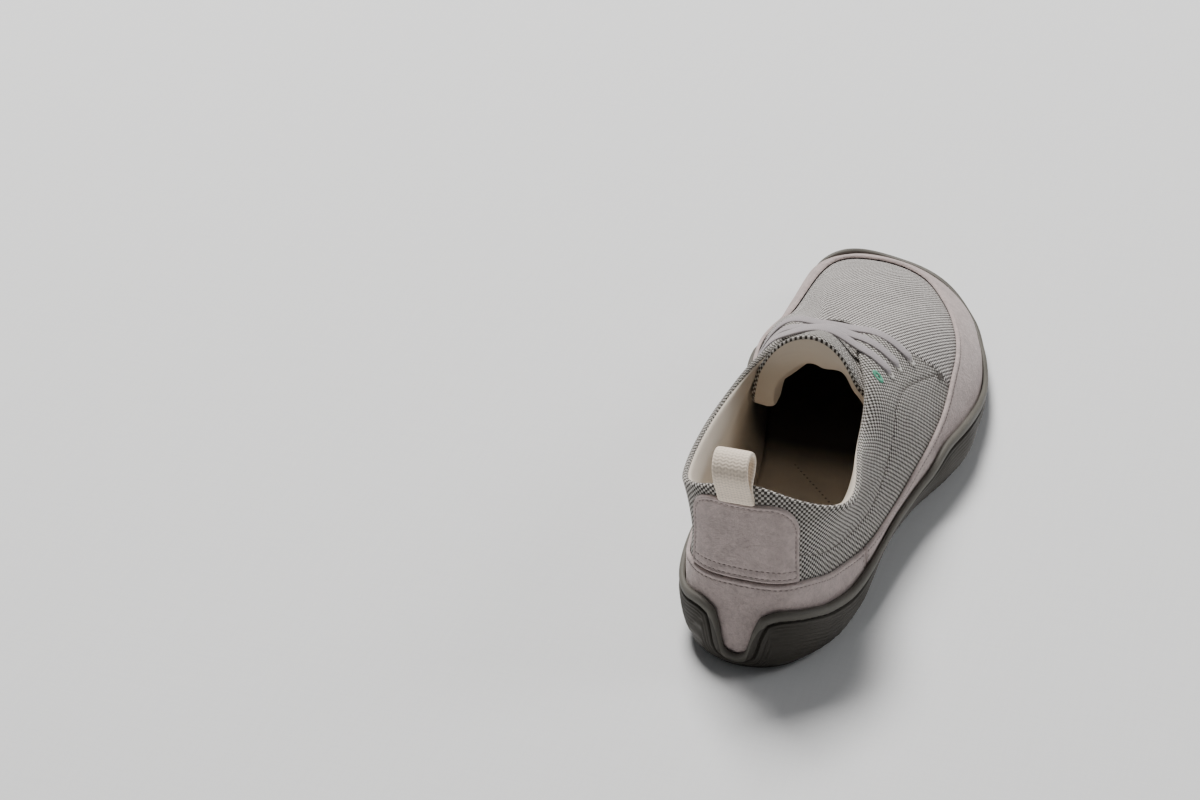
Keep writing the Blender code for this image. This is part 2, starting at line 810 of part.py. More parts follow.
# Middle line of the folded tape, as (back from the heel, height) in millimetres.
LOOP_LINE = (
    (0.0, 68.1),
    (-0.9, 69.6),
    (-1.5, 73.0),
    (-2.2, 77.0),
    (-2.2, 81.0),
    (-0.6, 84.8),
    (2.6, 87.2),
    (6.2, 86.8),
    (8.4, 84.0),
    (8.0, 81.0),
    (5.4, 78.3),
    (2.0, 76.0),
    (0.6, 73.2),
    (0.8, 69.6),
)


def make_pull_loop():
    """The woven tape loop that stands up from the top of the heel patch."""
    line = np.array(LOOP_LINE) * MM
    line[:, 0] += LAST.skin(np.array([0.0]), 0.93)[0, 1] - LOOP_BACK
    side = np.roll(line, -1, 0) - np.roll(line, 1, 0)
    side /= np.linalg.norm(side, axis=1)[:, None]
    normal = np.stack([-side[:, 1], side[:, 0]], 1)
    shell = Shell()
    loops = []
    for offset in (LOOP_THICK / 2, -LOOP_THICK / 2):
        for x in (-LOOP_WIDTH / 2, LOOP_WIDTH / 2):
            flat = line + normal * offset
            loops.append(shell.add([(LOOP_SHIFT + x, p[0], p[1]) for p in flat]))
    shell.bridge(loops[0], loops[1])
    shell.bridge(loops[2], loops[3])
    shell.bridge(loops[0], loops[2])
    shell.bridge(loops[1], loops[3])
    return shell.build("pull_loop")


def centre():
    """Moves every piece so that the shoe stands on the origin."""
    nodes = [o for o in bpy.data.objects if not o.hide_render]
    tall = np.array([v.co for o in nodes for v in o.data.vertices])
    middle = (tall.min(0) + tall.max(0)) / 2
    shift = Vector((-middle[0], -middle[1], -tall[:, 2].min()))
    for obj in bpy.data.objects:
        for vertex in obj.data.vertices:
            vertex.co += shift
    print("shift", [round(v / MM, 3) for v in shift])


def main():
    """Builds every piece of the shoe."""
    bpy.ops.wm.read_factory_settings(use_empty=True)
    upper = make_upper()
    cut_eyelets(upper)
    make_outsole()
    make_insole()
    make_band()
    make_heel_patch()
    make_tongue()
    make_laces()
    make_pull_loop()
    centre()


main()
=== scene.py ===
"""The looks of a low barefoot shoe for the right foot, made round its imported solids.

Metres, +Z up, the toe toward +Y and the outer side toward +X. The shoe's form
is described by ribs around the foot, as in the part's source. Every layer is an
offset of that one surface, and a place on it is a pair (t, s): t runs round the
foot from the heel along the outer side, and s runs up the rib from the feather
line to the edge of the opening.
"""

import logging
import math
from collections.abc import Callable, Sequence
from dataclasses import dataclass, field
from enum import Enum

import bmesh
import bpy
import numpy as np
from mathutils import Matrix, Vector
from mathutils.bvhtree import BVHTree


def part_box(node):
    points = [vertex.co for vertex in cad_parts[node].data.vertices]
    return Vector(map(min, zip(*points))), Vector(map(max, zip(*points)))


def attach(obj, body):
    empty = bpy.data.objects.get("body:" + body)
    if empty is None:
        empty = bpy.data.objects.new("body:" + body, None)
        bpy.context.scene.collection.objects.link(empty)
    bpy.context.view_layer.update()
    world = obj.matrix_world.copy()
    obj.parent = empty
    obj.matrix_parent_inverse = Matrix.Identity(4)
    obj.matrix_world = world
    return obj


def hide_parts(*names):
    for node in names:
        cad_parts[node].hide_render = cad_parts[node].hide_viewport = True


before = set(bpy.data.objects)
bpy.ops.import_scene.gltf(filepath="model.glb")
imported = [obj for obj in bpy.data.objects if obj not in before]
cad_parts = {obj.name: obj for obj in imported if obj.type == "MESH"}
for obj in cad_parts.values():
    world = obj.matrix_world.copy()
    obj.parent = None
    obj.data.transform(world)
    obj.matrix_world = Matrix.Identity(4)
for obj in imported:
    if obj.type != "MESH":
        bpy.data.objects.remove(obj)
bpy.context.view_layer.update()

LOG = logging.getLogger("shoe")
MM = 0.001
BODY = "root"

LENGTH = 0.262
HALF_BALL = 0.047
HEEL_HEIGHT = 0.0733
INSTEP_HEIGHT = 0.081
AXIS_HEIGHT = 40.0 * MM

# Thicknesses, heights and offsets from the form, in millimetres.
GAP = 0.35
PLATE_TOP = 4.0
FEATHER = PLATE_TOP + GAP
WALL = 2.0
SUEDE_INNER = GAP + 0.05
SUEDE_OUTER = SUEDE_INNER + 1.2
FLANGE_INNER = SUEDE_OUTER + GAP
FLANGE_OUTER = FLANGE_INNER + 1.9
STITCH_SINK = 0.2

# A small step of t or s, for directions on the form.
NUDGE = 1e-4

Points = np.ndarray
Colour = tuple[float, float, float]
Place = tuple[float, float, float]
Relief = Callable[[Points, Points], Points]

# Ribs round the foot: out_x and top_x are shares of half the ball width, out_y
# and top_y of the length, top_z of the heel height, bulge and spring are in
# millimetres, and the rest are shares of the rib's own run and rise.
#  out_x   out_y    top_x   top_y   top_z bulge sh_in sh_up cr_in cr_up spring
RIBS = (
    (0.000, 0.0363, -0.011, 0.0332, 1.000, 4.3, -0.10, 0.47, 0.10, 0.81, 0.0),
    (0.266, 0.0458, 0.303, 0.0474, 0.936, 4.7, -0.10, 0.46, 0.10, 0.80, 0.0),
    (0.456, 0.1239, 0.672, 0.1136, 0.784, 5.3, -0.10, 0.45, 0.10, 0.80, 0.0),
    (0.601, 0.2231, 0.615, 0.2326, 0.760, 6.1, -0.10, 0.44, 0.10, 0.80, 0.0),
    (0.676, 0.3258, 0.528, 0.3122, 0.775, 6.7, -0.01, 0.47, 0.30, 0.85, 0.0),
    (0.757, 0.4273, 0.457, 0.3760, 0.873, 7.3, 0.07, 0.52, 0.50, 0.90, 0.0),
    (0.843, 0.5310, 0.272, 0.4542, 0.903, 7.2, 0.12, 0.56, 0.55, 0.92, 0.0),
    (0.931, 0.6683, 0.179, 0.5115, 0.846, 5.6, 0.15, 0.58, 0.56, 0.94, 0.4),
    (0.846, 0.7958, 0.128, 0.5420, 0.813, 4.6, 0.14, 0.52, 0.54, 0.90, 2.0),
    (0.584, 0.8984, 0.081, 0.5588, 0.797, 4.8, 0.12, 0.43, 0.52, 0.82, 4.6),
    (0.195, 0.9615, 0.030, 0.5664, 0.789, 4.3, 0.08, 0.385, 0.48, 0.765, 8.3),
    (-0.210, 0.9798, -0.019, 0.5687, 0.787, 4.9, 0.05, 0.32, 0.44, 0.73, 9.9),
    (-0.526, 0.9645, -0.070, 0.5664, 0.790, 3.1, 0.04, 0.30, 0.43, 0.725, 9.8),
    (-0.643, 0.9016, -0.115, 0.5588, 0.798, 4.3, 0.10, 0.425, 0.48, 0.86, 3.4),
    (-0.741, 0.8066, -0.162, 0.5420, 0.816, 3.4, 0.12, 0.43, 0.52, 0.81, 1.1),
    (-0.779, 0.6934, -0.213, 0.5115, 0.849, 5.5, 0.14, 0.58, 0.55, 0.94, 0.5),
    (-0.661, 0.5644, -0.298, 0.4542, 0.907, 6.5, 0.12, 0.56, 0.55, 0.92, 0.0),
    (-0.532, 0.4427, -0.457, 0.3817, 0.900, 7.0, 0.08, 0.52, 0.50, 0.90, 0.0),
    (-0.479, 0.3321, -0.583, 0.3282, 0.819, 6.5, 0.00, 0.48, 0.30, 0.85, 0.0),
    (-0.468, 0.2290, -0.651, 0.2385, 0.786, 6.0, -0.10, 0.45, 0.10, 0.80, 0.0),
    (-0.436, 0.1260, -0.609, 0.1202, 0.819, 5.5, -0.10, 0.45, 0.10, 0.80, 0.0),
    (-0.245, 0.0477, -0.351, 0.0458, 0.930, 4.9, -0.10, 0.46, 0.10, 0.80, 0.0),
)
RIB_SCALE = (
    HALF_BALL, LENGTH, HALF_BALL, LENGTH, HEEL_HEIGHT, MM, 1.0, 1.0, 1.0, 1.0, MM,
)

# Height in millimetres of the sole's wavy top edge, by share of the way round.
SOLE_EDGE = (
    (0.0000, 6.8), (0.0045, 8.5), (0.0085, 19.0), (0.0120, 24.0), (0.0200, 26.0),
    (0.0310, 24.5), (0.0520, 20.0), (0.0800, 17.0), (0.1100, 17.5), (0.1600, 18.5),
    (0.2100, 19.0), (0.2450, 22.5), (0.2750, 21.0), (0.3200, 15.5), (0.3800, 10.5),
    (0.4340, 12.0), (0.4800, 19.4), (0.5130, 21.3), (0.5400, 24.0), (0.5720, 13.0),
    (0.6150, 11.0), (0.6600, 19.0), (0.6850, 20.5), (0.7150, 14.0), (0.7450, 8.0),
    (0.7950, 6.8), (0.8200, 9.0), (0.8500, 18.0), (0.8900, 22.0), (0.9480, 23.5),
    (0.9690, 24.5), (0.9800, 26.0), (0.9880, 24.0), (0.9915, 19.0), (0.9955, 8.5),
)

# Height in millimetres of the suede band's top edge.
BAND_EDGE = (
    (0.0000, 36.3), (0.0310, 34.7), (0.0640, 27.5), (0.1040, 24.0), (0.1590, 23.0),
    (0.2070, 26.0), (0.2560, 28.8), (0.3200, 33.3), (0.3810, 33.6), (0.4340, 31.5),
    (0.4780, 28.2), (0.5130, 28.4), (0.5410, 26.3), (0.5720, 24.4), (0.6170, 25.6),
    (0.6700, 29.5), (0.7320, 32.5), (0.7900, 32.0), (0.8420, 29.8), (0.8900, 28.3),
    (0.9400, 29.5), (0.9690, 34.7),
)

# How far the foot of the form stands out from the ribs, as a share of half the
# ball width. It fades out up the rib.
FLARE = (
    (0.000, 0.102), (0.030, 0.070), (0.060, 0.120), (0.085, 0.084), (0.105, 0.010),
    (0.125, -0.075), (0.145, -0.108), (0.180, -0.075), (0.200, -0.052), (0.220, -0.007),
    (0.245, 0.053), (0.275, 0.088), (0.310, 0.046), (0.350, 0.035), (0.400, 0.040),
    (0.440, 0.095), (0.470, 0.115), (0.500, 0.115), (0.530, 0.160), (0.560, 0.120),
    (0.590, 0.095), (0.630, 0.030), (0.700, -0.020), (0.940, -0.040), (0.970, 0.020),
)
FLARE_TOP = 0.45

# The seam under the padded collar, as (t, s), from the heel patch forward.
COLLAR_SEAM = (
    (0.000, 0.690), (0.031, 0.672), (0.050, 0.640), (0.094, 0.600), (0.120, 0.592),
    (0.145, 0.611), (0.182, 0.660), (0.207, 0.706), (0.232, 0.682), (0.263, 0.600),
    (0.300, 0.510),
)

# The front edge of each quarter, as (s, t).
QUARTER_EDGE = (
    (0.00, 0.296), (0.41, 0.2974), (0.49, 0.3007), (0.54, 0.3015), (0.63, 0.2955),
    (0.70, 0.2940), (0.80, 0.298), (1.00, 0.312),
)

# The tongue's cross-sections: share of the length, crown as a share of the
# instep height, and where its sides stop in degrees over the horizontal.
TONGUE_ARCHES = (
    (0.3740, 1.000, 18.0), (0.3855, 0.988, 14.0), (0.4046, 0.960, 14.0),
    (0.4275, 0.926, 16.0), (0.4542, 0.880, 18.0), (0.4847, 0.825, 20.0),
    (0.5153, 0.773, 22.0), (0.5458, 0.726, 26.0), (0.5763, 0.679, 32.0),
    (0.6069, 0.648, 40.0),
)

# The suede joints and the patch's half width are shares of the way round, and
# the patch's top and the radius of its corners are in millimetres.
JOINT_AT = 0.10247
PATCH_HALF = 0.031
PATCH_TOP = 67.0
PATCH_ROUND = 13.0

# The eyelets in plan, from the back forward, and how far the inner ones shift.
EYELETS = ((23.1, 107.3), (25.2, 116.9), (26.1, 126.6), (28.5, 138.7))
EYELET_SHIFT = -1.2


def smooth_ring(knots: Sequence[tuple[float, float]]) -> Callable[[Points], Points]:
    """Makes a periodic curve with no overshoot through (share, value) knots.

    Args:
        knots: Pairs of a share of the way round and a value, in order.

    Returns:
        A function from an array of shares to an array of values.
    """
    at = np.array([k[0] for k in knots])
    value = np.array([k[1] for k in knots])
    step = np.diff(np.append(at, at[0] + 1.0))
    slope = (np.roll(value, -1) - value) / step
    before = np.roll(slope, 1)
    both = np.where(before * slope > 0, 2 * before * slope, 0.0)
    tangent = both / np.where(before + slope == 0, 1.0, before + slope)

    def curve(t: Points) -> Points:
        """The curve's value at each share."""
        t = np.mod(t, 1.0)
        i = np.clip(np.searchsorted(at, t, side="right") - 1, 0, len(at) - 1)
        j = (i + 1) % len(at)
        u = (t - at[i]) / step[i]
        rise = (3 - 2 * u) * u * u
        first = u * (1 - u) ** 2 * step[i] * tangent[i]
        last = u * u * (u - 1) * step[i] * tangent[j]
        return value[i] * (1 - rise) + value[j] * rise + first + last

    return curve


def ease(value: Points, low: float, high: float) -> Points:
    """A smooth step from 0 at low to 1 at high."""
    u = np.clip((value - low) / (high - low), 0.0, 1.0)
    return u * u * (3 - 2 * u)


def bell(value: Points, centre: float, width: float) -> Points:
    """A smooth bump of height 1 round centre."""
    return np.exp(-(((value - centre) / width) ** 2))


def lengths(rows: Points, axis: int) -> Points:
    """Running length in millimetres along one axis of a grid of points."""
    step = np.linalg.norm(np.diff(rows, axis=axis), axis=-1) / MM
    pad = [(0, 0), (0, 0)]
    pad[axis] = (1, 0)
    return np.pad(np.cumsum(step, axis=axis), pad)


def from_ends(rows: Points) -> Points:
    """Running length in millimetres from the nearer end of each row."""
    return np.minimum(lengths(rows, 1), lengths(rows[:, ::-1], 1)[:, ::-1])


def ring_pattern(rows: Points) -> Points:
    """Pattern places for rows that close on themselves, one column more."""
    wrapped = np.concatenate([rows, rows[:, :1]], 1)
    return np.stack([lengths(wrapped, 1), lengths(wrapped, 0)], -1)


def from_heel(t: Points) -> Points:
    """The share of the way round from the heel by the shorter way."""
    return np.abs((t + 0.5) % 1.0 - 0.5)


def squared(value: Points, power: float) -> Points:
    """A sine or cosine flattened towards a rectangle by a power under one."""
    return np.sign(value) * np.abs(value) ** power


def dome(share: Points) -> Points:
    """A quarter circle that rises from 0 at 0 to 1 at 1 and stays there."""
    return np.sqrt(1 - (1 - np.clip(share, 0, 1)) ** 2)


def add_object(name: str, data: bpy.types.ID) -> bpy.types.Object:
    """Makes an object of some data and puts it in the scene."""
    obj = bpy.data.objects.new(name, data)
    bpy.context.scene.collection.objects.link(obj)
    return obj


def unit(vectors: Points) -> Points:
    """The same directions at length one."""
    return vectors / np.maximum(np.linalg.norm(vectors, axis=-1, keepdims=True), 1e-12)


def resample(line: Points, step: float, closed: bool = False) -> Points:
    """Points an even step apart along a polyline.

    Args:
        line: The polyline's points, in metres.
        step: The wished distance between points, in metres.
        closed: Whether the line ends where it starts.

    Returns:
        The points, which share the line's two ends where it is open.
    """
    if closed:
        line = np.vstack([line, line[:1]])
    run = np.concatenate([[0.0], np.cumsum(np.linalg.norm(np.diff(line, axis=0), axis=1))])
    count = max(int(round(run[-1] / step)), 2)
    at = np.linspace(0, run[-1], count + 1)
    if closed:
        at = at[:-1]
    return np.stack([np.interp(at, run, line[:, k]) for k in range(line.shape[1])], 1)


def tuck(t: Points) -> Points:
    """Where the sole's edge hides under the band on the inner side of the toe."""
    return ease(t, 0.532, 0.556) * (1 - ease(t, 0.640, 0.670))


class Last:
    """The form of the shoe, as a surface with the coordinates (t, s)."""

    def __init__(self) -> None:
        """Fits the periodic spline through the ribs."""
        self.rows = np.array(RIBS) * np.array(RIB_SCALE)
        outline = self.rows[:, :2]
        reach = np.linalg.norm(np.roll(outline, -1, 0) - outline, axis=1)
        self.at = np.concatenate([[0.0], np.cumsum(reach)]) / reach.sum()
        step = np.diff(self.at)
        count = len(self.rows)
        left = np.zeros((count, count))
        right = np.zeros_like(self.rows)
        for i in range(count):
            after = (i + 1) % count
            left[i, i - 1] += step[i - 1] / 6
            left[i, i] += (step[i - 1] + step[i]) / 3
            left[i, after] += step[i] / 6
            right[i] = (self.rows[after] - self.rows[i]) / step[i]
            right[i] -= (self.rows[i] - self.rows[i - 1]) / step[i - 1]
        self.bend = np.linalg.solve(left, right)

    def columns(self, t: Points) -> Points:
        """The table's columns at the shares t, as an array of rows."""
        t = np.mod(t, 1.0)
        count = len(self.rows)
        i = np.clip(np.searchsorted(self.at, t, side="right") - 1, 0, count - 1)
        j = (i + 1) % count
        step = (self.at[i + 1] - self.at[i])[:, None]
        a = (self.at[i + 1] - t)[:, None] / step
        b = 1 - a
        curve = (a**3 - a) * self.bend[i] + (b**3 - b) * self.bend[j]
        return a * self.rows[i] + b * self.rows[j] + curve * step**2 / 6

    def outward(self, t: Points) -> Points:
        """The plan direction away from the foot at the feather line."""
        d = (self.columns(t + NUDGE) - self.columns(t - NUDGE))[:, :2]
        return unit(np.stack([d[:, 1], -d[:, 0], 0 * d[:, 0]], 1))

    def spring(self, t: Points) -> Points:
        """The toe spring at the shares t, which is never below the floor."""
        return np.maximum(self.columns(t)[:, 10], 0.0)

    def ribs(self, t: Points, s: Points) -> Points:
        """Points of the surface.

        Args:
            t: Array of shares of the way round.
            s: Array of shares of the way up, of the same length.

        Returns:
            An array of points.
        """
        s = s[:, None]
        c = self.columns(t)
        up = np.array([0.0, 0.0, 1.0])
        foot = np.stack([c[:, 0], c[:, 1], FEATHER * MM + np.maximum(c[:, 10], 0.0)], 1)
        top = c[:, 2:5]
        out = self.outward(t)
        run = (top - foot) * (1, 1, 0)
        rise = (top - foot)[:, 2:3]
        bulge = c[:, 5:6]
        p1 = foot + out * bulge * 1.6 + up * rise * 0.14
        p2 = foot + out * bulge * 0.8 * (1 - c[:, 6:7])
        p2 = p2 + run * np.clip(c[:, 6:7], 0, None) + up * rise * c[:, 7:8]
        p3 = foot + run * c[:, 8:9] + up * rise * c[:, 9:10]
        q = 1 - s
        low = q**4 * foot + 4 * q**3 * s * p1 + 6 * q * q * s * s * p2
        fade = np.clip(1 - (s / FLARE_TOP) ** 2, 0, 1) ** 2
        flare = out * FLARE_SHARE(t)[:, None] * fade * HALF_BALL
        return low + 4 * q * s**3 * p3 + s**4 * top + flare

    def normals(self, t: Points, s: Points) -> Points:
        """The unit normals that point away from the foot."""
        along = self.ribs(t + NUDGE, s) - self.ribs(t - NUDGE, s)
        above, below = np.clip(s + NUDGE, 0, 1), np.clip(s - NUDGE, 0, 1)
        return unit(np.cross(along, self.ribs(t, above) - self.ribs(t, below)))

    def skin(self, t: Points, s: Points, offset: Points | float = 0.0) -> Points:
        """Points of the surface, offset outward.

        Args:
            t: Shares of the way round, of any shape.
            s: Shares of the way up, of a shape that goes with t.
            offset: How far outside the surface, in millimetres.

        Returns:
            An array of points of the common shape.
        """
        t, s, offset = np.broadcast_arrays(t, s, offset)
        flat_t = t.ravel().astype(float)
        flat_s = s.ravel().astype(float)
        inside = np.clip(flat_s, 0, 1)
        p = self.ribs(flat_t, inside)
        p = p + self.normals(flat_t, inside) * offset.ravel()[:, None] * MM
        return p.reshape(t.shape + (3,))

    def facing(self, t: Points, s: Points) -> Points:
        """The outward normals at places of any common shape."""
        t, s = np.broadcast_arrays(t, s)
        n = self.normals(t.ravel().astype(float), s.ravel().astype(float))
        return n.reshape(t.shape + (3,))

    def share_at(self, t: Points, height: Points, offset: float = 0.0) -> Points:
        """The s at which the offset surface first reaches each height.

        Args:
            t: Shares of the way round.
            height: One height in millimetres for each share.
            offset: How far outside the surface, in millimetres.

        Returns:
            One s for each share.
        """
        s = np.linspace(0.0, 1.0, 161)
        level = self.skin(np.asarray(t)[:, None], s[None, :], offset)[..., 2] / MM
        level = np.maximum.accumulate(level, axis=1)
        return np.array([np.interp(z, row, s) for z, row in zip(height, level)])

    def rib_length(self, t: Points) -> Points:
        """The length in millimetres of the rib at each share."""
        s = np.linspace(0.0, 1.0, 41)
        return lengths(self.skin(np.asarray(t)[:, None], s[None, :]), 1)[:, -1]

    def locate(self, x: float, y: float, t: float, s: float) -> tuple[float, float]:
        """The (t, s) whose point stands over (x, y), from a first guess."""
        here = np.array([t, s])
        for _ in range(30):
            p = self.ribs(here[:1], here[1:])[0, :2]
            dt = (self.ribs(here[:1] + NUDGE, here[1:])[0, :2] - p) / NUDGE
            ds = (self.ribs(here[:1], here[1:] + NUDGE)[0, :2] - p) / NUDGE
            move = np.linalg.solve(np.stack([dt, ds], 1), np.array([x, y]) - p)
            here = here + np.clip(move, -0.05, 0.05)
        return float(here[0]), float(here[1])


FLARE_SHARE = smooth_ring(FLARE)
LAST = Last()
SOLE_LINE = smooth_ring(SOLE_EDGE)
BAND_LINE = smooth_ring(BAND_EDGE)


def sole_height(t: Points) -> Points:
    """The height in millimetres of the sole's edge, lower where it hides."""
    return SOLE_LINE(t) - 3.0 * tuck(np.mod(t, 1.0))


def frame_shift() -> Points:
    """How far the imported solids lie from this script's own form."""
    t = np.linspace(0.0, 1.0, 1600, endpoint=False)
    own = LAST.skin(t[:, None], np.linspace(0.0, 1.0, 41)[None, :]).reshape(-1, 3)
    low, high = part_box("upper")
    middle = (np.array(low) + np.array(high)) / 2
    shift = middle - (own.min(0) + own.max(0)) / 2
    shift[2] = 0.0
    return shift


SHIFT = frame_shift()


class MeshMaker:
    """Gathers grids and caps into one mesh with a pattern place at every corner."""

    def __init__(self) -> None:
        """Starts with nothing."""
        self.points: list[Points] = []
        self.count = 0
        self.faces: list[Points] = []
        self.places: list[Points] = []
        self.slots: list[Points] = []
        self.caps: list[tuple[list[int], int]] = []

    def grid(
        self,
        rows: Points,
        pattern: Points | None = None,
        ring: bool = False,
        loop: bool = False,
        slot: Points | int = 0,
    ) -> Points:
        """Adds a grid of points, each cell of which becomes a quad.

        Args:
            rows: Points, as (rows, columns, 3).
            pattern: A place on the pattern for each point, in millimetres. A
                ring has one column more than rows has.
            ring: Whether the last column joins the first.
            loop: Whether the last row joins the first.
            slot: The finish's number, for all or for each row of cells.

        Returns:
            The points' numbers, as (rows, columns).
        """
        high, wide = rows.shape[:2]
        number = self.count + np.arange(high * wide).reshape(high, wide)
        self.points.append(rows.reshape(-1, 3))
        self.count += high * wide
        if pattern is None:
            pattern = np.stack([lengths(rows, 1), lengths(rows, 0)], -1)
        i = np.arange(high if loop else high - 1)
        j = np.arange(wide if ring else wide - 1)
        i2 = (i + 1) % high
        j2 = (j + 1) % wide
        j3 = np.minimum(j + 1, pattern.shape[1] - 1)
        corners = [number[np.ix_(a, b)] for a, b in ((i, j), (i, j2), (i2, j2), (i2, j))]
        spots = [pattern[np.ix_(a, b)] for a, b in ((i, j), (i, j3), (i2, j3), (i2, j))]
        self.faces.append(np.stack(corners, -1).reshape(-1, 4))
        self.places.append(np.stack(spots, -2).reshape(-1, 4, 2))
        number_of = np.broadcast_to(np.reshape(slot, (-1, 1)), (len(i), len(j)))
        self.slots.append(number_of.ravel())
        return number

    def cap(self, loop: Sequence[int], slot: int = 0) -> None:
        """Closes a loop of points with one face."""
        self.caps.append(([int(v) for v in loop], slot))

    def quads(self, number: Points, places: Points | None = None, slot: int = 0) -> None:
        """Joins a grid of points that are already there.

        Args:
            number: The points' numbers, as (rows, columns).
            places: A place on the pattern for each point, in millimetres.
            slot: The finish's number.
        """
        if places is None:
            places = np.zeros(number.shape + (2,))

        def corners(table: Points) -> list[Points]:
            """The table at the four corners of every cell."""
            return [table[:-1, :-1], table[:-1, 1:], table[1:, 1:], table[1:, :-1]]

        made = np.stack(corners(number), -1).reshape(-1, 4)
        self.faces.append(made)
        self.places.append(np.stack(corners(places), -2).reshape(-1, 4, 2))
        self.slots.append(np.full(len(made), slot))

    def across(self, loop: Points, rows: Points, cells: int, lift: "Relief | None" = None) -> None:
        """Closes a ring that mirrors itself with a sheet from side to side.

        Args:
            loop: The ring's numbers, heel first.
            rows: The ring's points.
            cells: How many quads run from side to side.
            lift: The sheet's rise in millimetres at each (x, y), if any.
        """
        half = len(loop) // 2
        left, right = np.arange(1, half), len(loop) - np.arange(1, half)
        share = np.linspace(0, 1, cells + 1)[1:-1, None]
        a, b = rows[left][:, None], rows[right][:, None]
        sheet = a * (1 - share) + b * share
        if lift is not None:
            wide = np.linalg.norm(a - b, axis=-1) / MM
            rim = ease(np.minimum(share[:, 0], 1 - share[:, 0]) * wide, 0.4, 1.8)
            sheet[..., 2] += lift(sheet[..., 0] / MM, sheet[..., 1] / MM) * rim * MM
        inner = self.count + np.arange(sheet.shape[0] * sheet.shape[1])
        self.points.append(sheet.reshape(-1, 3))
        self.count += len(inner)
        inner = inner.reshape(sheet.shape[:2])
        number = np.concatenate([loop[left][:, None], inner, loop[right][:, None]], 1)
        whole = np.concatenate([a, sheet, b], 1)
        self.quads(number, whole[..., :2] / MM)
        self.cap([loop[0], *number[0]])
        self.cap([loop[half], *number[-1, ::-1]])

    def build(self, name: str, finishes: Sequence["Finish"]) -> bpy.types.Object:
        """Makes the object with outward faces, its finishes and its body.

        Args:
            name: The piece's name.
            finishes: The finishes, in the order of the slots' numbers.

        Returns:
            The object, which rides on the shoe's only body.
        """
        mesh = bpy.data.meshes.new(name)
        points = np.concatenate(self.points) + SHIFT
        faces = np.concatenate(self.faces).tolist() if self.faces else []
        faces += [c[0] for c in self.caps]
        mesh.from_pydata(points.tolist(), [], faces)
        spots = np.concatenate([p.reshape(-1, 2) for p in self.places])
        extra = sum(len(c[0]) for c in self.caps)
        spots = np.concatenate([spots, np.zeros((extra, 2))])
        mesh.uv_layers.new(name="pattern").data.foreach_set("uv", spots.ravel())
        slots = np.concatenate([*self.slots, np.array([c[1] for c in self.caps], int)])
        mesh.polygons.foreach_set("material_index", slots.astype(np.int32))
        work = bmesh.new()
        work.from_mesh(mesh)
        bmesh.ops.recalc_face_normals(work, faces=work.faces)
        work.to_mesh(mesh)
        work.free()
        mesh.shade_smooth()
        for finish in finishes:
            mesh.materials.append(finish.material())
        obj = add_object(name, mesh)
        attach(obj, BODY)
        LOG.info("%s: %d faces", name, len(mesh.polygons))
        return obj


class Slot(Enum):
    """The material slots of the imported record."""

    RUBBER = "sole_rubber"
    WOVEN = "woven_fabric"
    LINING = "lining_fabric"
    SUEDE = "suede"
    LACE = "lace_cord"
    LOOP = "loop_tape"


class Wire:
    """One socket of a shader, with the sums and products used on it."""

    def __init__(self, recipe: "Recipe", socket: bpy.types.NodeSocket) -> None:
        """Keeps the socket and the recipe that it belongs to."""
        self.recipe = recipe
        self.socket = socket

    def maths(self, operation: str, *others: "Wire | float") -> "Wire":
        """The result of a Math node that starts with this socket."""
        inputs = {0: self, **{k + 1: o for k, o in enumerate(others)}}
        return self.recipe.node("ShaderNodeMath", {"operation": operation}, inputs)

    def __add__(self, other: "Wire | float") -> "Wire":
        """The sum of the two."""
        return self.maths("ADD", other)

    __radd__ = __add__

    def __mul__(self, other: "Wire | float") -> "Wire":
        """The product of the two."""
        return self.maths("MULTIPLY", other)

    __rmul__ = __mul__

    def __sub__(self, other: "Wire | float") -> "Wire":
        """This less the other."""
        return self.maths("SUBTRACT", other)

    def __rsub__(self, other: float) -> "Wire":
        """The other less this."""
        return (self * -1.0) + other

    def __truediv__(self, other: "Wire | float") -> "Wire":
        """This over the other."""
        return self.maths("DIVIDE", other)

    def fraction(self) -> "Wire":
        """What is over the whole number below."""
        return self - self.floor()

    def floor(self) -> "Wire":
        """The whole number below."""
        return self.maths("FLOOR")

    def power(self, exponent: float) -> "Wire":
        """This to a power."""
        return self.maths("POWER", exponent)

    def wave(self) -> "Wire":
        """The cosine."""
        return self.maths("COSINE")

    def size(self) -> "Wire":
        """The value without its sign."""
        return self.maths("ABSOLUTE")

    def step(self, low: float, high: float) -> "Wire":
        """A smooth step from 0 at low to 1 at high."""
        settings = {"interpolation_type": "SMOOTHSTEP"}
        inputs = {"Value": self, "From Min": low, "From Max": high}
        return self.recipe.node("ShaderNodeMapRange", settings, inputs)


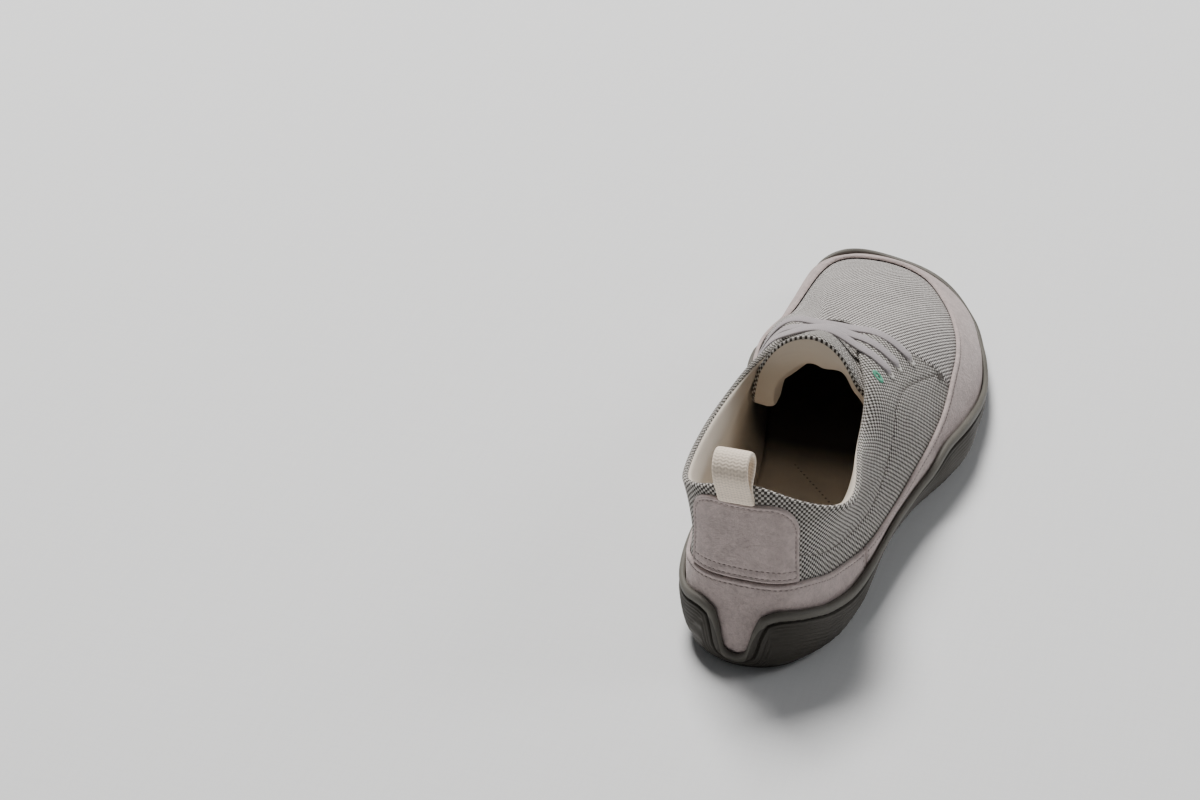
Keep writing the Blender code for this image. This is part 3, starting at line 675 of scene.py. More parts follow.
class Recipe:
    """Builds one material out of nodes."""

    def __init__(self, name: str) -> None:
        """Starts a material with only a shader and its output."""
        self.material = bpy.data.materials.new(name)
        self.material.use_nodes = True
        self.tree = self.material.node_tree
        self.tree.nodes.clear()
        self.output = self.tree.nodes.new("ShaderNodeOutputMaterial")
        self.shader = self.tree.nodes.new("ShaderNodeBsdfPrincipled")
        self.tree.links.new(self.shader.outputs[0], self.output.inputs[0])

    def feed(self, socket: bpy.types.NodeSocket, value: "Wire | float | Colour") -> None:
        """Links or sets one input socket."""
        if isinstance(value, Wire):
            self.tree.links.new(value.socket, socket)
        elif isinstance(value, tuple) and socket.type == "RGBA":
            socket.default_value = (*value, 1.0)
        else:
            socket.default_value = value

    def node(self, kind: str, settings: dict, inputs: dict, output: int | str = 0) -> Wire:
        """Adds a node.

        Args:
            kind: The node's type.
            settings: Properties that are set before its sockets.
            inputs: Values or wires, by the socket's name or number.
            output: The name or number of the socket that is wanted.

        Returns:
            The wanted output.
        """
        made = self.tree.nodes.new(kind)
        for key, value in settings.items():
            setattr(made, key, value)
        for key, value in inputs.items():
            self.feed(made.inputs[key], value)
        return Wire(self, made.outputs[output])

    def pattern(self) -> tuple[Wire, Wire]:
        """The place on the piece's pattern, in millimetres."""
        at = self.node("ShaderNodeUVMap", {"uv_map": "pattern"}, {})
        return self.split(at)[:2]

    def split(self, vector: Wire) -> tuple[Wire, Wire, Wire]:
        """The three numbers of a vector."""
        made = self.tree.nodes.new("ShaderNodeSeparateXYZ")
        self.tree.links.new(vector.socket, made.inputs[0])
        return tuple(Wire(self, made.outputs[k]) for k in range(3))

    def join(self, x: Wire | float, y: Wire | float, z: Wire | float = 0.0) -> Wire:
        """A vector of three numbers."""
        return self.node("ShaderNodeCombineXYZ", {}, {0: x, 1: y, 2: z})

    def place(self) -> Wire:
        """The place on the piece, in metres."""
        return self.node("ShaderNodeTexCoord", {}, {}, "Object")

    def noise(self, vector: Wire, scale: float, detail: float = 2.0) -> Wire:
        """Soft noise round a half."""
        inputs = {"Vector": vector, "Scale": scale, "Detail": detail, "Roughness": 0.55}
        return self.node("ShaderNodeTexNoise", {}, inputs)

    def chance(self, vector: Wire) -> Wire:
        """A number from 0 to 1 that is steady over each whole place."""
        settings = {"noise_dimensions": "3D"}
        return self.node("ShaderNodeTexWhiteNoise", settings, {"Vector": vector})

    def mix(self, share: Wire | float, a: Wire | Colour, b: Wire | Colour) -> Wire:
        """A blend of two colours."""
        settings = {"data_type": "RGBA", "clamp_factor": True}
        return self.node("ShaderNodeMix", settings, {0: share, 6: a, 7: b}, 2)

    def shade(self, colour: Wire | Colour, amount: Wire) -> Wire:
        """A colour times a number."""
        settings = {"data_type": "RGBA", "blend_type": "MULTIPLY"}
        grey = self.node("ShaderNodeCombineColor", {}, {0: amount, 1: amount, 2: amount})
        return self.node("ShaderNodeMix", settings, {0: 1.0, 6: colour, 7: grey}, 2)

    def bump(self, height: Wire, distance: float, strength: float = 1.0) -> Wire:
        """A normal from a height that is given in parts of distance metres."""
        inputs = {"Height": height, "Distance": distance, "Strength": strength}
        return self.node("ShaderNodeBump", {}, inputs, "Normal")

    def finish(self, **sockets: "Wire | float | Colour") -> bpy.types.Material:
        """Sets the shader's sockets and returns the material."""
        for key, value in sockets.items():
            self.feed(self.shader.inputs[key.replace("_", " ")], value)
        return self.material


@dataclass(frozen=True)
class Finish:
    """A finish of one material slot, which is made once and then shared."""

    name: str
    slot: Slot

    def material(self) -> bpy.types.Material:
        """The material, made at its first use."""
        found = bpy.data.materials.get(self.name)
        return found if found else self.make(Recipe(self.name))

    def make(self, recipe: Recipe) -> bpy.types.Material:
        """Builds the material's nodes."""
        raise NotImplementedError


@dataclass(frozen=True)
class Weave(Finish):
    """Plain weave of light and dark threads, each with its own slight tone."""

    light: Colour = (0.62, 0.59, 0.55)
    dark: Colour = (0.070, 0.060, 0.052)
    cell: float = 1.03
    turn: float = 0.0
    wander: float = 0.7

    def make(self, recipe: Recipe) -> bpy.types.Material:
        """Builds the material's nodes."""
        u, v = recipe.pattern()
        cos, sin = math.cos(self.turn), math.sin(self.turn)
        drift = recipe.noise(recipe.join(u, v), 0.06) - 0.5
        a = (u * cos + v * sin) / self.cell + drift * self.wander
        b = (v * cos - u * sin) / self.cell + drift * self.wander
        i, j = a.floor(), b.floor()
        odd = ((i + j) * 0.5).fraction() * 2.0
        across = 1.0 - ((b.fraction() - 0.5) * 2.0).power(2.0)
        along = 1.0 - ((a.fraction() - 0.5) * 2.0).power(2.0)
        light = across.power(0.5) * (along * 0.5 + 0.5)
        dark = along.power(0.5) * (across * 0.45 + 0.25)
        height = light + (dark - light) * odd
        slub = recipe.chance(recipe.join(j, (i * 0.09).floor())) * 0.20 + 0.88
        fleck = recipe.chance(recipe.join((j * 0.07).floor(), i, 5.0)) * 0.55 + 0.75
        tone = slub + (fleck - slub) * odd
        hair = recipe.noise(recipe.join(u, v), 5.0, 2.0) * 0.18 + 0.91
        colour = recipe.mix(odd, self.light, self.dark)
        # The colour darkens where the threads dip: painted shade between the threads.
        colour = recipe.shade(colour, tone * hair * (height * 0.50 + 0.54))
        return recipe.finish(
            Base_Color=colour,
            Roughness=0.92,
            Normal=recipe.bump(height, 0.0005, 0.65),
            Sheen_Weight=0.12,
            Sheen_Roughness=0.5,
            Specular_IOR_Level=0.18,
        )


@dataclass(frozen=True)
class Suede(Finish):
    """Brushed leather: a short nap that mottles the colour."""

    colour: Colour = (0.475, 0.395, 0.378)

    def make(self, recipe: Recipe) -> bpy.types.Material:
        """Builds the material's nodes."""
        at = recipe.place()
        broad = recipe.noise(at, 38.0, 3.0).step(0.3, 0.7)
        scuff = recipe.noise(at, 230.0, 4.0).step(0.34, 0.66)
        nap = recipe.noise(at, 760.0, 4.0)
        fine = recipe.noise(at, 2400.0, 2.0)
        tone = broad * 0.10 + scuff * 0.11 + nap * 0.52 + fine * 0.34 + 0.465
        pale = recipe.mix(scuff, self.colour, tuple(c * 1.05 for c in self.colour))
        return recipe.finish(
            Base_Color=recipe.shade(pale, tone),
            Roughness=0.95,
            Normal=recipe.bump(nap * 0.65 + fine * 0.35, 0.0009, 0.75),
            Sheen_Weight=0.22,
            Sheen_Roughness=0.45,
            Specular_IOR_Level=0.12,
        )


@dataclass(frozen=True)
class Rubber(Finish):
    """Matte moulded rubber with faint dust and mould grain."""

    colour: Colour = (0.108, 0.101, 0.086)

    def make(self, recipe: Recipe) -> bpy.types.Material:
        """Builds the material's nodes."""
        at = recipe.place()
        dust = recipe.noise(at, 55.0, 4.0).step(0.35, 0.75)
        grain = recipe.noise(at, 1900.0, 2.0)
        dusty = tuple(c * 1.22 + 0.004 for c in self.colour)
        colour = recipe.mix(dust, self.colour, dusty)
        return recipe.finish(
            Base_Color=recipe.shade(colour, grain * 0.24 + 0.88),
            Roughness=dust * 0.10 + 0.56,
            Normal=recipe.bump(grain, 0.0002, 0.35),
            Specular_IOR_Level=0.38,
        )


@dataclass(frozen=True)
class Cloth(Finish):
    """Fine plain cloth, such as a lining or an inlay's cover, with painted shade toward the toe.
    """

    colour: Colour = (0.72, 0.64, 0.54)
    thread: float = 0.42
    # Between these places along the foot, in metres, the cloth darkens to its painted
    # shade tone: painted shade, because hardly any light reaches it under the vamp.
    front: tuple[float, float] = (-0.020, 0.010)
    painted_shade_tone: float = 0.10

    def make(self, recipe: Recipe) -> bpy.types.Material:
        """Builds the material's nodes."""
        u, v = recipe.pattern()
        turn = 2 * math.pi / self.thread
        weave = (u * turn).wave() * (v * turn).wave()
        at = recipe.place()
        broad = recipe.noise(at, 45.0, 3.0)
        # Painted shade: the colour falls to the shaded tone from the first place to the second.
        forward = recipe.split(at)[1].step(*self.front) * (1.0 - self.painted_shade_tone)
        tone = (weave * 0.05 + broad * 0.22 + 0.88) * (1.0 - forward)
        base = recipe.mix(broad, self.colour, tuple(c * 0.93 for c in self.colour))
        return recipe.finish(
            Base_Color=recipe.shade(base, tone),
            Roughness=0.9,
            Normal=recipe.bump(weave * 0.5 + broad, 0.00022, 0.4),
            Sheen_Weight=0.15,
            Specular_IOR_Level=0.15,
        )


@dataclass(frozen=True)
class Tape(Finish):
    """Narrow woven tape with a herringbone of threads and tight edges."""

    colour: Colour = (0.425, 0.385, 0.395)
    pitch: float = 0.85
    width: float = 6.0
    slant: float = 0.9

    def make(self, recipe: Recipe) -> bpy.types.Material:
        """Builds the material's nodes."""
        u, v = recipe.pattern()
        across = (v * (2.0 / self.width)).size()
        fold = (v / (self.pitch * 2.0)).fraction() - 0.5
        line = (u + fold.size() * (self.slant * self.pitch * 2.0)) / self.pitch
        rib = (line * (2 * math.pi)).wave() * 0.5 + 0.5
        rows = (v * (2 * math.pi / self.pitch)).wave() * 0.5 + 0.5
        height = rib * 0.6 + rows * 0.4
        spot = recipe.noise(recipe.join(u, v), 1.1, 2.0)
        edge = across.step(0.80, 1.0)
        # The height darkens the dips between the ribs: painted shade; the spots and the lighter
        # edges are the tape's own tone.
        tone = height * 0.30 + spot * 0.30 + edge * 0.10 + 0.68
        return recipe.finish(
            Base_Color=recipe.shade(self.colour, tone),
            Roughness=0.88,
            Normal=recipe.bump(height, 0.00022, 0.55),
            Sheen_Weight=0.2,
            Specular_IOR_Level=0.2,
        )


@dataclass(frozen=True)
class Thread(Finish):
    """Twisted sewing thread."""

    colour: Colour = (0.20, 0.17, 0.155)

    def make(self, recipe: Recipe) -> bpy.types.Material:
        """Builds the material's nodes."""
        at = recipe.place()
        twist = recipe.noise(at, 3200.0, 2.0)
        colour = recipe.mix(twist, tuple(c * 0.8 for c in self.colour), self.colour)
        return recipe.finish(
            Base_Color=colour,
            Roughness=recipe.noise(at, 900.0) * 0.2 + 0.55,
            Normal=recipe.bump(twist, 0.0001, 0.4),
            Specular_IOR_Level=0.3,
        )


@dataclass(frozen=True)
class FloorCloth(Finish):
    """The pale backdrop: paper with a faint linen grain."""

    colour: Colour = (0.84, 0.845, 0.85)

    def make(self, recipe: Recipe) -> bpy.types.Material:
        """Builds the material's nodes."""
        x, y, _ = recipe.split(recipe.place())
        warp = recipe.noise(recipe.join(x * 900.0, y * 45.0), 1.0, 3.0)
        weft = recipe.noise(recipe.join(x * 45.0, y * 900.0), 1.0, 3.0)
        tone = (warp + weft) * 0.05 + 0.95
        return recipe.finish(
            Base_Color=recipe.shade(self.colour, tone),
            Roughness=0.95,
            Specular_IOR_Level=0.1,
        )


QUARTER_WEAVE = Weave("quarter_weave", Slot.WOVEN)
VAMP_WEAVE = Weave(
    "vamp_weave", Slot.WOVEN, light=(0.82, 0.775, 0.745), dark=(0.060, 0.052, 0.046),
    turn=math.radians(29), wander=0.25,
)
TONGUE_WEAVE = Weave("tongue_weave", Slot.WOVEN)
SUEDE = Suede("brushed_suede", Slot.SUEDE)
RUBBER = Rubber("moulded_rubber", Slot.RUBBER)
# A darker copy of the same rubber for the wall below the lip: painted shade.
SHADED_WALL_RUBBER = Rubber("wall_rubber_painted_shade", Slot.RUBBER, colour=(0.044, 0.039, 0.031))
# The lining and the inlay are darkened in front of the throat: painted shade.
LINING = Cloth("cream_lining", Slot.LINING)
INLAY = Cloth("inlay_cover", Slot.LINING, colour=(0.80, 0.71, 0.60), front=(-0.020, 0.005))
LACE = Tape("lace_weave", Slot.LACE)
LOOP = Tape(
    "loop_weave", Slot.LOOP, colour=(0.90, 0.77, 0.63), pitch=1.15, width=16.0, slant=0.5
)
SUEDE_THREAD = Thread("suede_thread", Slot.SUEDE, colour=(0.31, 0.265, 0.25))
SOLE_THREAD = Thread("sole_thread", Slot.RUBBER, colour=(0.028, 0.024, 0.021))
SEAM_THREAD = Thread("seam_thread", Slot.WOVEN, colour=(0.15, 0.133, 0.12))
PALE_THREAD = Thread("pale_thread", Slot.WOVEN, colour=(0.80, 0.77, 0.72))
GREEN_THREAD = Thread("green_thread", Slot.WOVEN, colour=(0.14, 0.50, 0.33))
CREAM_THREAD = Thread("cream_thread", Slot.LINING, colour=(0.42, 0.36, 0.29))
FLOOR = FloorCloth("pale_floor", Slot.LINING)


class StitchTree:
    """A Geometry Nodes tree that lays one stitch on every point of a mesh."""

    def __init__(self) -> None:
        """Builds the tree with its named inputs."""
        self.tree = bpy.data.node_groups.new("lay_stitches", "GeometryNodeTree")
        face = self.tree.interface
        face.new_socket("Geometry", in_out="INPUT", socket_type="NodeSocketGeometry")
        self.sizes = {}
        for name in ("Length", "Width", "Thickness"):
            made = face.new_socket(name, in_out="INPUT", socket_type="NodeSocketFloat")
            self.sizes[name] = made.identifier
        made = face.new_socket("Thread", in_out="INPUT", socket_type="NodeSocketMaterial")
        self.thread = made.identifier
        face.new_socket("Geometry", in_out="OUTPUT", socket_type="NodeSocketGeometry")
        start = self.add("NodeGroupInput")
        end = self.add("NodeGroupOutput")
        ball = self.add("GeometryNodeMeshUVSphere")
        ball.inputs["Segments"].default_value = 8
        ball.inputs["Rings"].default_value = 6
        ball.inputs["Radius"].default_value = 0.5
        size = self.add("ShaderNodeCombineXYZ")
        shape = self.add("GeometryNodeTransform")
        lay = self.add("GeometryNodeInstanceOnPoints")
        turn = self.add("FunctionNodeAxesToRotation")
        turn.primary_axis = "Z"
        turn.secondary_axis = "X"
        real = self.add("GeometryNodeRealizeInstances")
        smooth = self.add("GeometryNodeSetShadeSmooth")
        finish = self.add("GeometryNodeSetMaterial")
        link = self.tree.links.new
        for k, name in enumerate(("Length", "Width", "Thickness")):
            link(start.outputs[name], size.inputs[k])
        link(size.outputs[0], shape.inputs["Scale"])
        link(ball.outputs["Mesh"], shape.inputs["Geometry"])
        link(start.outputs["Geometry"], lay.inputs["Points"])
        link(shape.outputs[0], lay.inputs["Instance"])
        link(self.direction("up"), turn.inputs[0])
        link(self.direction("along"), turn.inputs[1])
        link(turn.outputs[0], lay.inputs["Rotation"])
        link(lay.outputs[0], real.inputs[0])
        link(real.outputs[0], smooth.inputs[0])
        link(smooth.outputs[0], finish.inputs[0])
        link(start.outputs["Thread"], finish.inputs["Material"])
        link(finish.outputs[0], end.inputs[0])

    def add(self, kind: str) -> bpy.types.Node:
        """Adds one node."""
        return self.tree.nodes.new(kind)

    def direction(self, name: str) -> bpy.types.NodeSocket:
        """The socket of a named direction of each point."""
        read = self.add("GeometryNodeInputNamedAttribute")
        read.data_type = "FLOAT_VECTOR"
        read.inputs["Name"].default_value = name
        return read.outputs[0]


@dataclass
class Stitching:
    """Rows of stitches in one thread, gathered and laid as one piece."""

    name: str
    thread: Thread
    length: float = 1.9
    width: float = 0.55
    thickness: float = 0.45
    pitch: float = 2.6
    points: list[Points] = field(default_factory=list)
    along: list[Points] = field(default_factory=list)
    up: list[Points] = field(default_factory=list)

    def row(self, line: Points, normals: Points, closed: bool = False) -> None:
        """Adds stitches an even pitch apart along a line.

        Args:
            line: The line's points, in metres.
            normals: The way up from the cloth at each of them.
            closed: Whether the line ends where it starts.
        """
        both = resample(np.hstack([line, normals * 1e-9]), self.pitch * MM, closed)
        p, n = both[:, :3], unit(both[:, 3:])
        if closed:
            tangent = np.roll(p, -1, 0) - np.roll(p, 1, 0)
        else:
            tangent = np.gradient(p, axis=0)
        self.lay(p, tangent, n)

    def lay(self, points: Points, along: Points, up: Points) -> None:
        """Adds stitches at points, each with its own direction and way up."""
        self.points.append(points)
        self.along.append(unit(along))
        self.up.append(unit(up))

    def build(self, tree: StitchTree) -> bpy.types.Object:
        """Lays the stitches and makes them a plain mesh.

        Args:
            tree: The tree that lays one stitch on each point.

        Returns:
            The finished piece.
        """
        seed = bpy.data.meshes.new(self.name + "_points")
        points = np.concatenate(self.points) + SHIFT
        seed.from_pydata(points.tolist(), [], [])
        for key, rows in (("along", self.along), ("up", self.up)):
            made = seed.attributes.new(key, "FLOAT_VECTOR", "POINT")
            made.data.foreach_set("vector", np.concatenate(rows).ravel().astype(np.float32))
        carrier = add_object(self.name + "_points", seed)
        modifier = carrier.modifiers.new("stitches", "NODES")
        modifier.node_group = tree.tree
        sizes = {"Length": self.length, "Width": self.width, "Thickness": self.thickness}
        for key, value in sizes.items():
            modifier[tree.sizes[key]] = value * MM
        modifier[tree.thread] = self.thread.material()
        bpy.context.view_layer.update()
        graph = bpy.context.evaluated_depsgraph_get()
        mesh = bpy.data.meshes.new_from_object(carrier.evaluated_get(graph))
        bpy.data.objects.remove(carrier)
        mesh.name = self.name
        obj = add_object(self.name, mesh)
        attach(obj, BODY)
        LOG.info("%s: %d stitches", self.name, len(points))
        return obj


def suede_stitching(name: str) -> Stitching:
    """A piece of the short stitches that hold the suede."""
    return Stitching(name, SUEDE_THREAD, length=1.35, width=0.42, thickness=0.4, pitch=2.0)


def path(t: Points, s: Points, offset: float) -> tuple[Points, Points]:
    """A line over the form and its normals.

    Args:
        t: Shares of the way round.
        s: Shares of the way up.
        offset: How far outside the form, in millimetres.

    Returns:
        The points and the outward normals.
    """
    return LAST.skin(t, s, offset), LAST.facing(t, s)


def depth_below(t: Points, s: Points, depth: float) -> Points:
    """The s that lies depth millimetres down the rib from s."""
    return np.clip(s - depth / LAST.rib_length(t), 0.0, 1.0)


def distance_to(points: Points, line: Points) -> Points:
    """The distance in millimetres from each point to a polyline.

    Args:
        points: Points of any leading shape.
        line: The polyline's points.

    Returns:
        Distances of the points' leading shape.
    """
    flat = points.reshape(-1, 3)
    a, b = line[:-1], line[1:]
    d = b - a
    square = np.maximum((d * d).sum(1), 1e-18)
    best = np.empty(len(flat))
    for first in range(0, len(flat), 1500):
        part = flat[first : first + 1500, None, :] - a[None]
        share = np.clip((part * d[None]).sum(2) / square, 0, 1)
        gap = part - share[..., None] * d[None]
        best[first : first + 1500] = np.sqrt((gap * gap).sum(2).min(1))
    return (best / MM).reshape(points.shape[:-1])


def turned_edge(gap: Points, low: float, high: float, round_by: float) -> Points:
    """The offset of a rounded edge that rises from low to high.

    Args:
        gap: Distance from the edge, in millimetres.
        low: The offset at the edge itself.
        high: The offset away from the edge.
        round_by: The edge's radius, in millimetres.

    Returns:
        One offset for each distance.
    """
    return low + (high - low) * dome(gap / round_by)


@dataclass(frozen=True)
class Pod:
    """A raised island of the tread: its middle, half sizes, turn and taper."""

    x: float
    y: float
    half_x: float
    half_y: float
    turn: float = 0.0
    taper: float = 0.0

    def outside(self, x: Points, y: Points) -> Points:
        """About how many millimetres each place lies outside the island."""
        cos, sin = math.cos(math.radians(self.turn)), math.sin(math.radians(self.turn))
        u = (x - self.x) * cos + (y - self.y) * sin
        v = ((y - self.y) * cos - (x - self.x) * sin) / self.half_y
        wide = self.half_x * np.clip(1 + self.taper * v, 0.25, 2.0)
        return (np.hypot(u / wide, v) - 1) * min(self.half_x, self.half_y)


@dataclass
class Tread:
    """The relief under the sole: islands of fine bars in a field of low studs."""

    field_depth: float = 0.55
    channel_depth: float = 1.25
    channel: float = 1.5
    bar_pitch: float = 3.2
    stud_pitch: float = 4.2
    pods: tuple[Pod, ...] = (
        Pod(-11.0, 236.0, 15.0, 12.0, 10.0, 0.35),
        Pod(17.0, 220.0, 12.0, 17.0, -18.0, -0.30),
        Pod(-17.0, 187.0, 15.0, 25.0, 6.0, 0.10),
        Pod(24.0, 176.0, 11.0, 21.0, -6.0, -0.35),
        Pod(2.0, 138.0, 10.0, 15.0, 12.0),
        Pod(7.0, 102.0, 10.0, 14.0, -4.0),
        Pod(-12.0, 42.0, 8.0, 27.0, 5.0, 0.20),
        Pod(14.0, 44.0, 7.5, 29.0, -3.0, 0.15),
    )

    def rise(self, x: Points, y: Points) -> Points:
        """How far over the floor the sole's underside lies, in millimetres."""
        away = np.min([pod.outside(x, y) for pod in self.pods], axis=0)
        stud = np.cos((x + y) * 2 * math.pi / self.stud_pitch)
        stud = stud * np.cos((x - y) * 2 * math.pi / self.stud_pitch)
        rise = self.field_depth - 0.4 * ease(stud, 0.15, 0.6)
        bars = np.cos((y + 0.35 * x) * 2 * math.pi / self.bar_pitch)
        rise = np.where(away < 0, 0.5 * ease(bars, 0.45, 0.9) * ease(-away, 0.8, 1.8), rise)
        ring = ease(away, -0.3, 0.3) * (1 - ease(away, self.channel - 0.3, self.channel + 0.3))
        cross = np.minimum(np.abs((x - 3) + (y - 205) * 0.9), np.abs((x - 3) - (y - 205) * 0.9))
        near = np.hypot(x - 3, y - 205) < 26
        ring = np.maximum(ring, np.where(near & (away > 0), 1 - ease(cross, 0.8, 1.6), 0))
        return rise + (self.channel_depth - rise) * ring


@dataclass
class Outsole:
    """The rubber sole: a wall with a rolled lip, a stitched groove and ribs."""

    columns: int = 640
    near_heel: int = 110
    cells: int = 92
    lip_rows: int = 17
    lip_round: float = 1.3
    groove: float = 3.7
    groove_depth: float = 1.5
    ribs_from: float = 5.6
    rib_pitch: float = 1.5
    rib_height: float = 0.5
    curl: float = 3.8
    curl_to: float = 1.7
    plate_cells: int = 2

    def stations(self) -> Points:
        """Shares of the way round, close together at the notch in the heel."""
        near = np.linspace(0.0, 0.016, self.near_heel // 2, endpoint=False)
        rest = np.linspace(0.016, 0.5, (self.columns - self.near_heel) // 2 + 1)
        half = np.concatenate([near, rest])
        return np.concatenate([half, 1 - half[-2:0:-1]])

    def places(self, t: Points) -> Points:
        """The s of each row of the wall at each t, from the edge down."""
        edge = LAST.share_at(t, sole_height(t), FLANGE_OUTER)
        size = LAST.rib_length(t)
        head = np.concatenate([np.linspace(0, 1.5, 7), np.linspace(1.8, 5.4, 19)])
        head = head[:, None] * np.minimum(1.0, edge * size * 0.8 / head[-1])
        rest = np.linspace(0, 1, 43)[1:, None]
        down = np.concatenate([head, head[-1] + (edge * size - head[-1]) * rest])
        return np.clip(edge - down / size, 0.0, 1.0)

    def offset(self, gap: Points, height: Points) -> Points:
        """The wall's offset from its distance to the edge and its height."""
        offset = turned_edge(gap, FLANGE_INNER + 0.2, FLANGE_OUTER + 0.2, self.lip_round)
        offset = offset + 0.12 * bell(gap, 1.9, 0.9)
        offset = offset - self.groove_depth * bell(gap, self.groove, 0.40)
        fade = ease(gap, 4.7, self.ribs_from) * ease(height, 1.6, 5.0)
        ribs = 0.5 + 0.5 * np.cos(2 * math.pi * (gap - self.ribs_from) / self.rib_pitch)
        return offset + fade * self.rib_height * (ribs - 0.3)

    def build(self) -> bpy.types.Object:
        """Makes the wall, its lip, the plate inside and the tread below."""
        t = self.stations()
        s = self.places(t)
        base = LAST.skin(t[None, :], s, FLANGE_OUTER)
        gap = distance_to(base, np.vstack([base[0], base[:1, 0]]))
        spring = LAST.spring(t)
        offset = self.offset(gap, (base[..., 2] - spring) / MM)
        offset = FLANGE_INNER + (offset - FLANGE_INNER) * (1 - 0.5 * tuck(t))
        curl = dome((base[..., 2] - spring) / MM / self.curl)
        offset = offset - (FLANGE_OUTER - self.curl_to) * (1 - curl)
        wall = LAST.skin(t[None, :], s, offset)
        wall[..., 2] = np.maximum(wall[..., 2], spring + 0.35 * MM)
        foot = LAST.ribs(t, 0 * t)
        out = LAST.outward(t)

        def ring(at: float, z: float) -> Points:
            """A ring in plan outside the feather line, over the floor."""
            row = foot + out * at * MM
            row[:, 2] = z * MM + spring
            return row[None]

        top = LAST.share_at(t, sole_height(t), FLANGE_INNER)
        inside = [LAST.skin(t, top * k, FLANGE_INNER)[None] for k in (0.08, 0.33, 0.66)]
        rows = np.concatenate([
            ring(-9.0, PLATE_TOP), ring(0.6, PLATE_TOP), *inside, wall,
            ring(1.4, 0.14), ring(-1.0, 0.0), ring(-3.0, 0.0),
        ])
        maker = MeshMaker()
        # The rows below the lip take the darker rubber: painted shade on the sole's lower side.
        shaded_rows = np.arange(len(rows) - 1) >= len(inside) + 2 + self.lip_rows
        number = maker.grid(rows, ring_pattern(rows), ring=True, slot=shaded_rows.astype(int))
        maker.across(number[0], rows[0], self.plate_cells)
        maker.across(number[-1], rows[-1], self.cells, Tread().rise)
        piece = maker.build("outsole_wall", [RUBBER, SHADED_WALL_RUBBER])
        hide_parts("outsole")
        return piece

    def stitches(self) -> Stitching:
        """The stitches in the groove below the lip."""
        t = self.stations()
        edge = LAST.share_at(t, sole_height(t), FLANGE_OUTER)
        line = LAST.skin(t, edge, FLANGE_OUTER)
        run = lengths(np.vstack([line, line[:1]])[None], 1)[0][:-1] * MM
        flat = np.stack([run, line[:, 2]], 1)
        tangent = unit(np.roll(flat, -1, 0) - np.roll(flat, 1, 0))
        tangent[0] = tangent[-1] = (1.0, 0.0)
        inset = flat + np.stack([tangent[:, 1], -tangent[:, 0]], 1) * self.groove * MM
        near = np.array([np.hypot(*(flat - spot).T).min() for spot in inset])
        inset = inset[near > self.groove * MM * 0.93]
        t_at = np.mod(np.interp(inset[:, 0], run, t), 1.0)
        s_at = LAST.share_at(t_at, inset[:, 1] / MM, FLANGE_OUTER)
        rows = Stitching(
            "sole_stitches", SOLE_THREAD, length=2.4, width=0.65, thickness=0.55, pitch=3.4
        )
        rows.row(*path(t_at, s_at, FLANGE_OUTER - 1.0), closed=True)
        return rows


@dataclass
class SuedeBand:
    """The suede band along the sole, in two lengths with turned top edges."""

    stitch_in: float = 1.9
    foot: float = 6.0
    cover: float = 2.0
    joint_gap: float = 0.0006
    joint_stitch: float = 0.0036

    def offset(self, gap: Points, end: Points) -> Points:
        """The outer face's offset by the distances from the edge and the ends."""
        out = turned_edge(gap, SUEDE_INNER + 0.25, SUEDE_OUTER, 0.8)
        out = out + 0.15 * bell(gap, 0.9, 0.7) - 0.26 * bell(gap, self.stitch_in, 0.4)
        sides = turned_edge(end, 0.0, 1.0, 0.8)
        return SUEDE_INNER + (out - SUEDE_INNER) * sides - 0.25 * bell(end, 1.9, 0.4)

    def piece(self, name: str, node: str, t: Points) -> bpy.types.Object:
        """Makes one length of the band.

        Args:
            name: The piece's name.
            node: The solid that it stands for.
            t: Its shares of the way round.

        Returns:
            The finished piece.
        """
        low = LAST.share_at(t, self.foot + LAST.spring(t) / MM, SUEDE_OUTER)
        high = LAST.share_at(t, BAND_LINE(t), SUEDE_OUTER)
        k = np.concatenate([np.linspace(0, 0.8, 16, endpoint=False), np.linspace(0.8, 1, 22)])
        k = 1 - (1 - k) ** 1.15
        s = low + (high - low) * k[:, None]
        base = LAST.skin(t[None, :], s, SUEDE_OUTER)
        gap = distance_to(base, base[-1])
        end = from_ends(base)
        cover = self.cover * tuck(np.mod(t, 1.0)) * (1 - k[:, None] ** 2)
        outer = LAST.skin(t[None, :], s, self.offset(gap, end) + cover)
        inner = LAST.skin(t[None, :], s[::-1][::4], SUEDE_INNER)
        rows = np.concatenate([outer, inner])
        maker = MeshMaker()
        number = maker.grid(rows, loop=True)
        maker.cap(number[:, 0])
        maker.cap(number[:, -1])
        piece = maker.build(name, [SUEDE])
        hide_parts(node)
        return piece

    def build(self) -> list[bpy.types.Object]:
        """Makes the front and the heel length."""
        gap = self.joint_gap
        front = np.linspace(JOINT_AT + gap, 1 - JOINT_AT - gap, 560)
        heel = np.linspace(-JOINT_AT + gap, JOINT_AT - gap, 260)
        return [
            self.piece("suede_band_front", "foxing_front", front),
            self.piece("suede_band_heel", "foxing_heel", heel),
        ]

    def stitches(self) -> Stitching:
        """The rows of stitches along the top edge and at the joints."""
        rows = suede_stitching("band_stitches")
        for first, last in ((JOINT_AT + 0.004, 1 - JOINT_AT - 0.004), (-0.098, 0.098)):
            t = np.linspace(first, last, 500)
            high = LAST.share_at(t, BAND_LINE(t), SUEDE_OUTER)
            rows.row(*path(t, depth_below(t, high, self.stitch_in), SUEDE_OUTER - STITCH_SINK))
        for side in (1, -1):
            for step in (-self.joint_stitch, self.joint_stitch):
                t = np.full(30, side * (JOINT_AT + step))
                high = LAST.share_at(t, BAND_LINE(t), SUEDE_OUTER)
                low = LAST.share_at(t, sole_height(t), SUEDE_OUTER)
                s = np.linspace(low[0], depth_below(t, high, self.stitch_in)[0], 30)
                rows.row(*path(t, s, SUEDE_OUTER - STITCH_SINK))
        return rows


